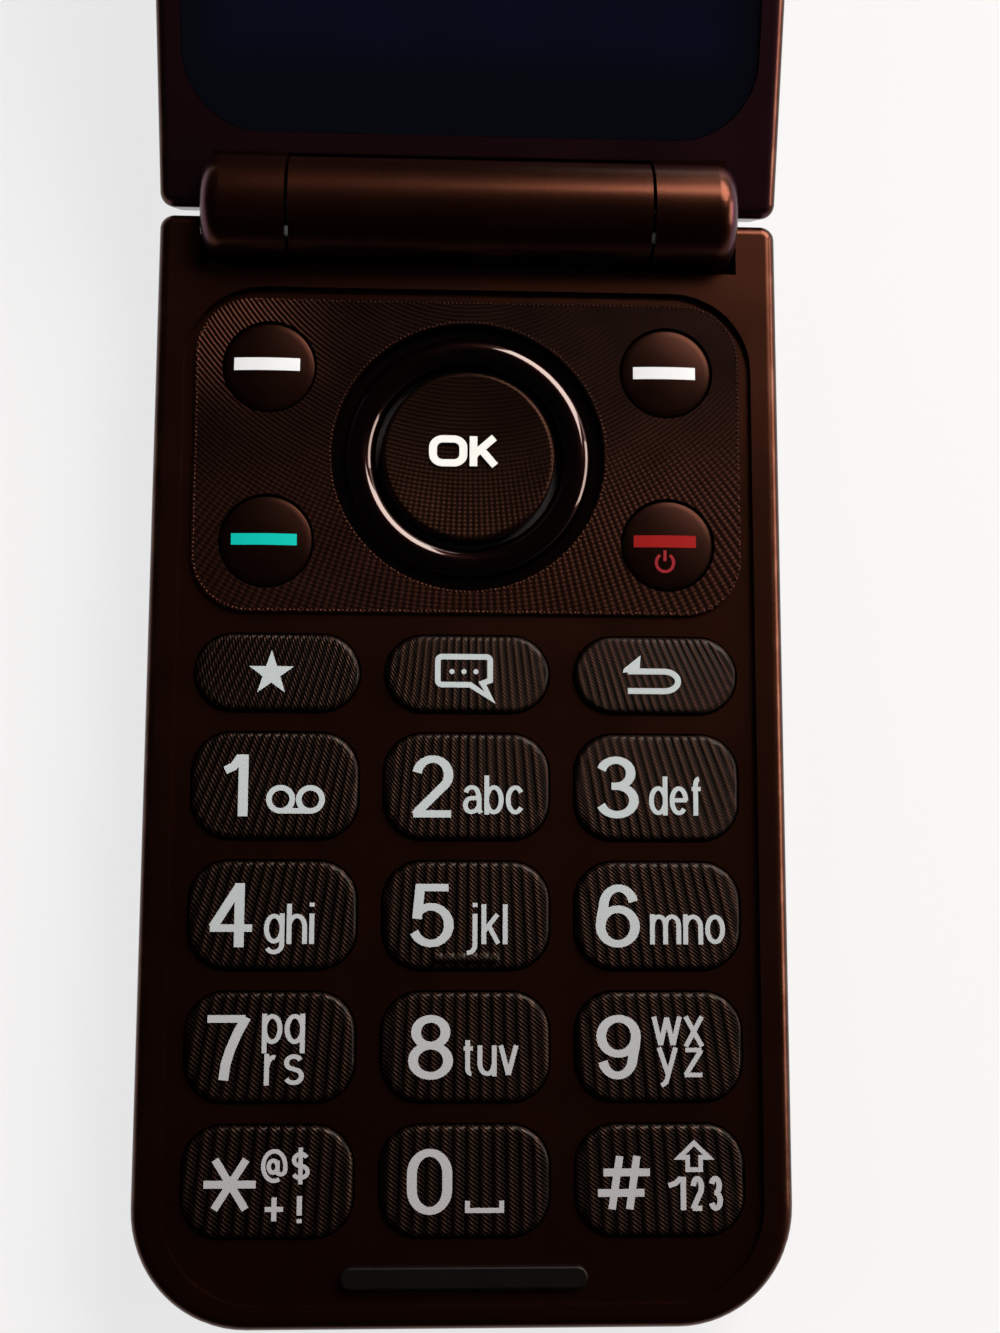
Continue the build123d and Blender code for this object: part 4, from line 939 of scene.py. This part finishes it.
# Navigation ring: a polished tilting ring over its carrier, black at first sight, with a deep red-brown
# base under a clear coat. The carrier is plain black plastic.
def moulded(name, colour, bright, roughness, grain=0.35, depth=0.006, gloss=0.35):
    """Moulded plastic: cloudy tone and a spark-eroded grain."""
    shot = Finish(name, colour, roughness, specular_ior_level=gloss)
    cloud = shot.noise(6.0, 3.0)
    shot.set("Base Color", shot.mix(cloud, colour, bright))
    shot.set("Roughness", cloud * 0.14 + (roughness - 0.07))
    shot.relief(shot.noise(grain, 1.0), depth)
    return shot.material


ring_gloss = polished("ring_gloss", (23, 8, 7), (32, 12, 10), 5.0, 0.17, 0.06, 0.5, 0.0008,
                      metallic=0.97, coat_weight=0.8, coat_roughness=0.05)
dress(ring_gloss, "nav_ring")
dress(moulded("carrier_plastic", (9, 8, 8), (15, 13, 13), 0.55), "nav_ring_carrier")


# Rest bar and volume rocker: a black rubber bar that keeps the closed lid off the keys, and a rocker
# of the housing's colour in the left wall.
dress(moulded("bar_rubber", (5, 4, 4), (9, 6, 6), 0.42, grain=0.2, gloss=0.12), "rest_bar")
dress(lacquer("rocker_lacquer", (56, 26, 19), (74, 36, 27), 0.28, 0.3), "volume_rocker")


# Sockets, microphone and motor: a drawn steel shell round the charging connector, steel cans round the
# microphone and the motor, and a headphone jack moulded in black plastic. They sit inside the base.
drawn_depth = 0.002


def metal(name, colour, roughness, along=(1.0, 1.0, 1.0)):
    """Rolled or drawn metal; its fine lines run along the axis with the smallest share."""
    steel = Finish(name, colour, roughness, metallic=1.0)
    x, y, z = steel.place()
    at = steel.node("CombineXYZ", (x * along[0], y * along[1], z * along[2]))
    lines = steel.node("TexNoise", {"Vector": at, "Scale": 6.0, "Detail": 2.0})
    cloud = steel.noise(4.0)
    dull = [value * 0.82 for value in colour]
    steel.set("Base Color", steel.mix(lines * 0.6 + cloud * 0.4, dull, colour))
    steel.set("Roughness", lines * 0.16 + (roughness - 0.08))
    steel.relief(lines, drawn_depth)
    return steel.material


black_plastic = moulded("black_plastic", (16, 16, 17), (27, 26, 27), 0.48)
bright_steel = metal("bright_steel", (186, 186, 188), 0.30, along=(1.0, 0.1, 1.0))
dress(bright_steel, "usb_connector", "microphone", "vibration_motor")
dress(black_plastic, "headphone_jack")


# Hinge: a sprung steel cam and its shaft in one knuckle, a plain pin in the other, and the flexible
# circuit of amber film that passes through the barrel.
hinge_steel = metal("hinge_steel", (150, 150, 154), 0.26, along=(0.1, 1.0, 1.0))
dress(hinge_steel, "hinge_cam_housing", "hinge_shaft", "hinge_pin")


def film_finish():
    """Amber film over copper tracks that run along it."""
    film = Finish("amber_film", (150, 82, 22), 0.32, coat_weight=0.4)
    x, _, _ = film.place()
    track = film.step(film.wave(x / 0.5), 0.45, 0.65)
    cloud = film.noise(3.0)
    copper = film.mix(cloud, (176, 104, 40), (196, 122, 54))
    film.set("Base Color", film.mix(track, (120, 62, 16), copper))
    film.set("Roughness", cloud * 0.12 + 0.26)
    film.relief(track, 0.012)
    return film.material


dress(film_finish(), "hinge_flex", "dome_sheet")


# Lid lenses and displays: clear acrylic windows printed black behind and stuck into the lid's shells,
# so the dark glass of each display only just shows. A screen's values are the distance of its middle
# from the hinge, its width and its length.
hinge_z = 9.5
main_screen = (43.8, 46.0, 62.0)
outer_screen = (50.0, 30.0, 24.0)
field_inside, field_outside = 2.5, 1.5


def up_the_lid(finish):
    """X, and the distance up the lid from the hinge, in millimetres."""
    x, y, z = finish.place()
    return x, (y - hinge_y) * cos(lid_lift) + (z - hinge_z) * sin(lid_lift)


def lens_finish(name, screen):
    """Glossy black window with the display's faint blue field, finger marks and dust."""
    middle, width, length = screen
    glass = Finish(name, (5, 5, 11), 0.06, specular_ior_level=0.25, coat_weight=0.2, coat_roughness=0.03)
    x, along = up_the_lid(glass)
    side = glass.step(x.math("ABSOLUTE"), width / 2 - field_inside, width / 2 + field_outside)
    end = glass.step((along - middle).math("ABSOLUTE"), length / 2 - field_inside, length / 2 + field_outside)
    field = (1 - side) * (1 - end)
    cloud = glass.noise(14.0, 3.0)
    blue = glass.mix(cloud, (8, 9, 22), (11, 12, 31))
    glass.set("Base Color", glass.mix(field, (7, 8, 17), blue))
    glass.set("Roughness", glass.step(glass.noise(7.0, 4.0), 0.5, 0.8) * 0.10 + 0.05)
    glass.relief(glass.noise(9.0), 0.002)
    return glass.material


cell_pitch = 0.24


def display_finish():
    """Display module: dark glass in a pressed frame, with the faint grid of its cells."""
    panel = Finish("display_glass", (14, 15, 22), 0.12, coat_weight=0.6)
    x, y, _ = panel.place()
    cells = panel.wave(x / cell_pitch) * panel.wave(y / cell_pitch)
    tone = cells * 0.5 + panel.noise(10.0) * 0.3
    panel.set("Base Color", panel.mix(tone, (10, 11, 17), (24, 26, 38)))
    panel.relief(cells, 0.003)
    return panel.material


dress(lens_finish("main_window", main_screen), "main_lens")
dress(lens_finish("outer_window", outer_screen), "outer_lens")
dress(display_finish(), "main_display", "outer_display")


# Earpiece, grille and loudspeaker: steel capsules that sit in the lid and the base. Fine woven wire,
# painted black, covers the earpiece's slot.
wire_pitch = 0.32


def mesh_finish():
    """Fine woven wire, painted black."""
    wire = Finish("woven_mesh", (28, 26, 27), 0.42, metallic=0.6)
    x, y, z = wire.place()
    over = wire.wave(x / wire_pitch)
    under = wire.wave((y * cos(lid_lift) + z * sin(lid_lift)) / wire_pitch)
    wires = over.math("MAXIMUM", under)
    wire.set("Base Color", wire.mix(wires, (4, 4, 4), (52, 48, 48)))
    wire.set("Roughness", wires * 0.2 + 0.3)
    wire.relief(wires, 0.05)
    return wire.material


dress(mesh_finish(), "earpiece_grille")
dress(metal("capsule_steel", (120, 118, 116), 0.35), "earpiece", "loudspeaker")


# Camera: a coated lens with dark stepped rings round its pupil, over a moulded module, and beside it
# the ribbed flash lens.
camera_place = 20.0
flash_x = 9.0
pupil_edge, coating_edge, baffle_edge = (0.7, 0.9), (1.3, 1.9), (3.2, 3.4)
emitter_edge = (0.35, 0.8)
lens_ring_pitch, flash_ring_pitch = 0.45, 0.3


def camera_finish():
    """Rings about the lens's middle: bevel, black baffle, violet coating and pupil."""
    glass = Finish("camera_glass", (8, 8, 10), 0.05, coat_weight=1.0, coat_roughness=0.02)
    x, along = up_the_lid(glass)
    along = along - camera_place
    reach = (x * x + along * along).math("SQRT")
    rings = glass.wave(reach / lens_ring_pitch)
    pupil = glass.step(reach, *pupil_edge)
    coating = glass.step(reach, *coating_edge)
    baffle = glass.step(reach, *baffle_edge)
    stepped = glass.mix(rings, (8, 8, 10), (26, 26, 30))
    inner = glass.mix(pupil, (2, 2, 4), glass.mix(coating, (52, 30, 84), stepped))
    glass.set("Base Color", glass.mix(baffle, inner, (58, 56, 56)))
    glass.set("Metallic", baffle * 0.9)
    glass.set("Roughness", baffle * 0.2 + glass.noise(5.0) * 0.04 + 0.04)
    glass.relief(rings * coating * (1 - baffle), 0.02)
    return glass.material


def flash_finish():
    """Pale translucent lens with pressed rings over a yellow emitter."""
    lens = Finish("flash_plastic", (226, 216, 178), 0.2, coat_weight=0.5, subsurface_weight=0.2)
    x, along = up_the_lid(lens)
    off, along = x - flash_x, along - camera_place
    reach = (off * off + along * along).math("SQRT")
    rings = lens.wave(reach / flash_ring_pitch)
    pressed = lens.mix(rings, (196, 190, 166), (236, 232, 214))
    lens.set("Base Color", lens.mix(lens.step(reach, *emitter_edge), (214, 176, 60), pressed))
    lens.relief(rings, 0.03)
    return lens.material


dress(camera_finish(), "camera_lens")
dress(flash_finish(), "flash_lens")
dress(black_plastic, "camera_module", "sim_holder")


# Bumpers, keypad mat and magnet: soft grey rubber pads, the dark silicone mat under the keys, and a
# plated magnet that wakes the phone when it opens.
dress(moulded("bumper_rubber", (24, 22, 22), (38, 35, 34), 0.7, grain=0.25, depth=0.01), "lid_bumpers")
dress(moulded("mat_silicone", (26, 26, 27), (40, 40, 41), 0.42, grain=1.2), "keypad_mat")
dress(metal("magnet_plating", (170, 168, 162), 0.22), "lid_magnet")


# Boards and antenna: glass-fibre boards under green solder mask, one in the base and one in the lid,
# with their tracks and gilt pads as finish. The antenna is copper foil on a plastic carrier.
track_pitch = 0.9
track_edge = (0.8, 0.95)
pad_scale = 420.0


def board_finish():
    """Green mask over tracks both ways, with gilt pads."""
    board = Finish("solder_mask", (18, 74, 42), 0.35, coat_weight=0.4)
    x, y, _ = board.place()
    cross = board.step(board.wave(x / track_pitch), *track_edge)
    cross = cross * board.step(board.noise(4.0, 0.0), 0.5, 0.53)
    length = board.step(board.wave(y / track_pitch), *track_edge)
    length = length * board.step(board.noise(5.0, 0.0), 0.47, 0.44)
    track = cross.math("MAXIMUM", length)
    at = board.node("TexCoord", output=3)
    spot = board.node("TexVoronoi", {"Vector": at, "Scale": pad_scale}, distance="CHEBYCHEV")
    pad = board.step(spot, 0.20, 0.16)
    mask = board.mix(board.noise(8.0), (14, 66, 36), (20, 82, 46))
    tone = board.mix(track, mask, (38, 122, 70))
    board.set("Base Color", board.mix(pad, tone, (204, 164, 84)))
    board.set("Metallic", pad * 0.9)
    board.set("Roughness", pad * 0.05 + board.noise(2.0) * 0.1 + 0.28)
    board.relief(track * 0.5 + pad * 0.5, 0.02)
    return board.material


dress(board_finish(), "main_board", "lid_board")
dress(metal("copper_foil", (196, 122, 82), 0.34), "antenna")


# Battery and contacts: a flat cell in a printed foil wrap, with no words on it, that lifts out of its
# bay, and the gilt springs that touch its end.
label_band = 6.0
label_stripe = (5.0, 3.9)
label_line_pitch = 3.0
label_blur = 0.1


def cell_finish():
    """Grey foil wrap with a pale band and two fine stripes, and no words."""
    wrap = Finish("cell_wrap", (52, 53, 58), 0.36, metallic=0.5)
    lo, hi = (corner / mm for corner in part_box("battery"))
    x, y, _ = wrap.place()
    side = wrap.step(x, lo.x + label_band, lo.x + label_band + label_blur)
    begun, ended = (wrap.step(x, hi.x - edge, hi.x - edge + label_blur) for edge in label_stripe)
    stripe = begun * (1 - ended)
    lines = wrap.step(wrap.wave(y / label_line_pitch), 0.92, 0.97) * (1 - side)
    cloud = wrap.noise(9.0, 3.0)
    foil = wrap.mix(cloud, (46, 47, 52), (60, 61, 67))
    base = wrap.mix(side, (196, 198, 200), foil)
    lined = wrap.mix(lines, base, (120, 122, 126))
    wrap.set("Base Color", wrap.mix(stripe, lined, (150, 60, 40)))
    wrap.set("Roughness", cloud * 0.15 + 0.30)
    wrap.relief(wrap.noise(2.5, 3.0), 0.03)
    return wrap.material


dress(cell_finish(), "battery")
dress(metal("gilt_spring", (214, 172, 92), 0.28, along=(1.0, 0.2, 1.0)), "battery_contacts")


# Screws: small screws of blackened steel that turn into bosses of the shells. One group holds the
# base together and the other the lid.
dress(metal("black_screw", (70, 70, 74), 0.32), "base_screws", "lid_screws")


lo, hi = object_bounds()
{"cad": [list(cad_box[0]), list(cad_box[1])], "visual": [list(lo), list(hi)]}
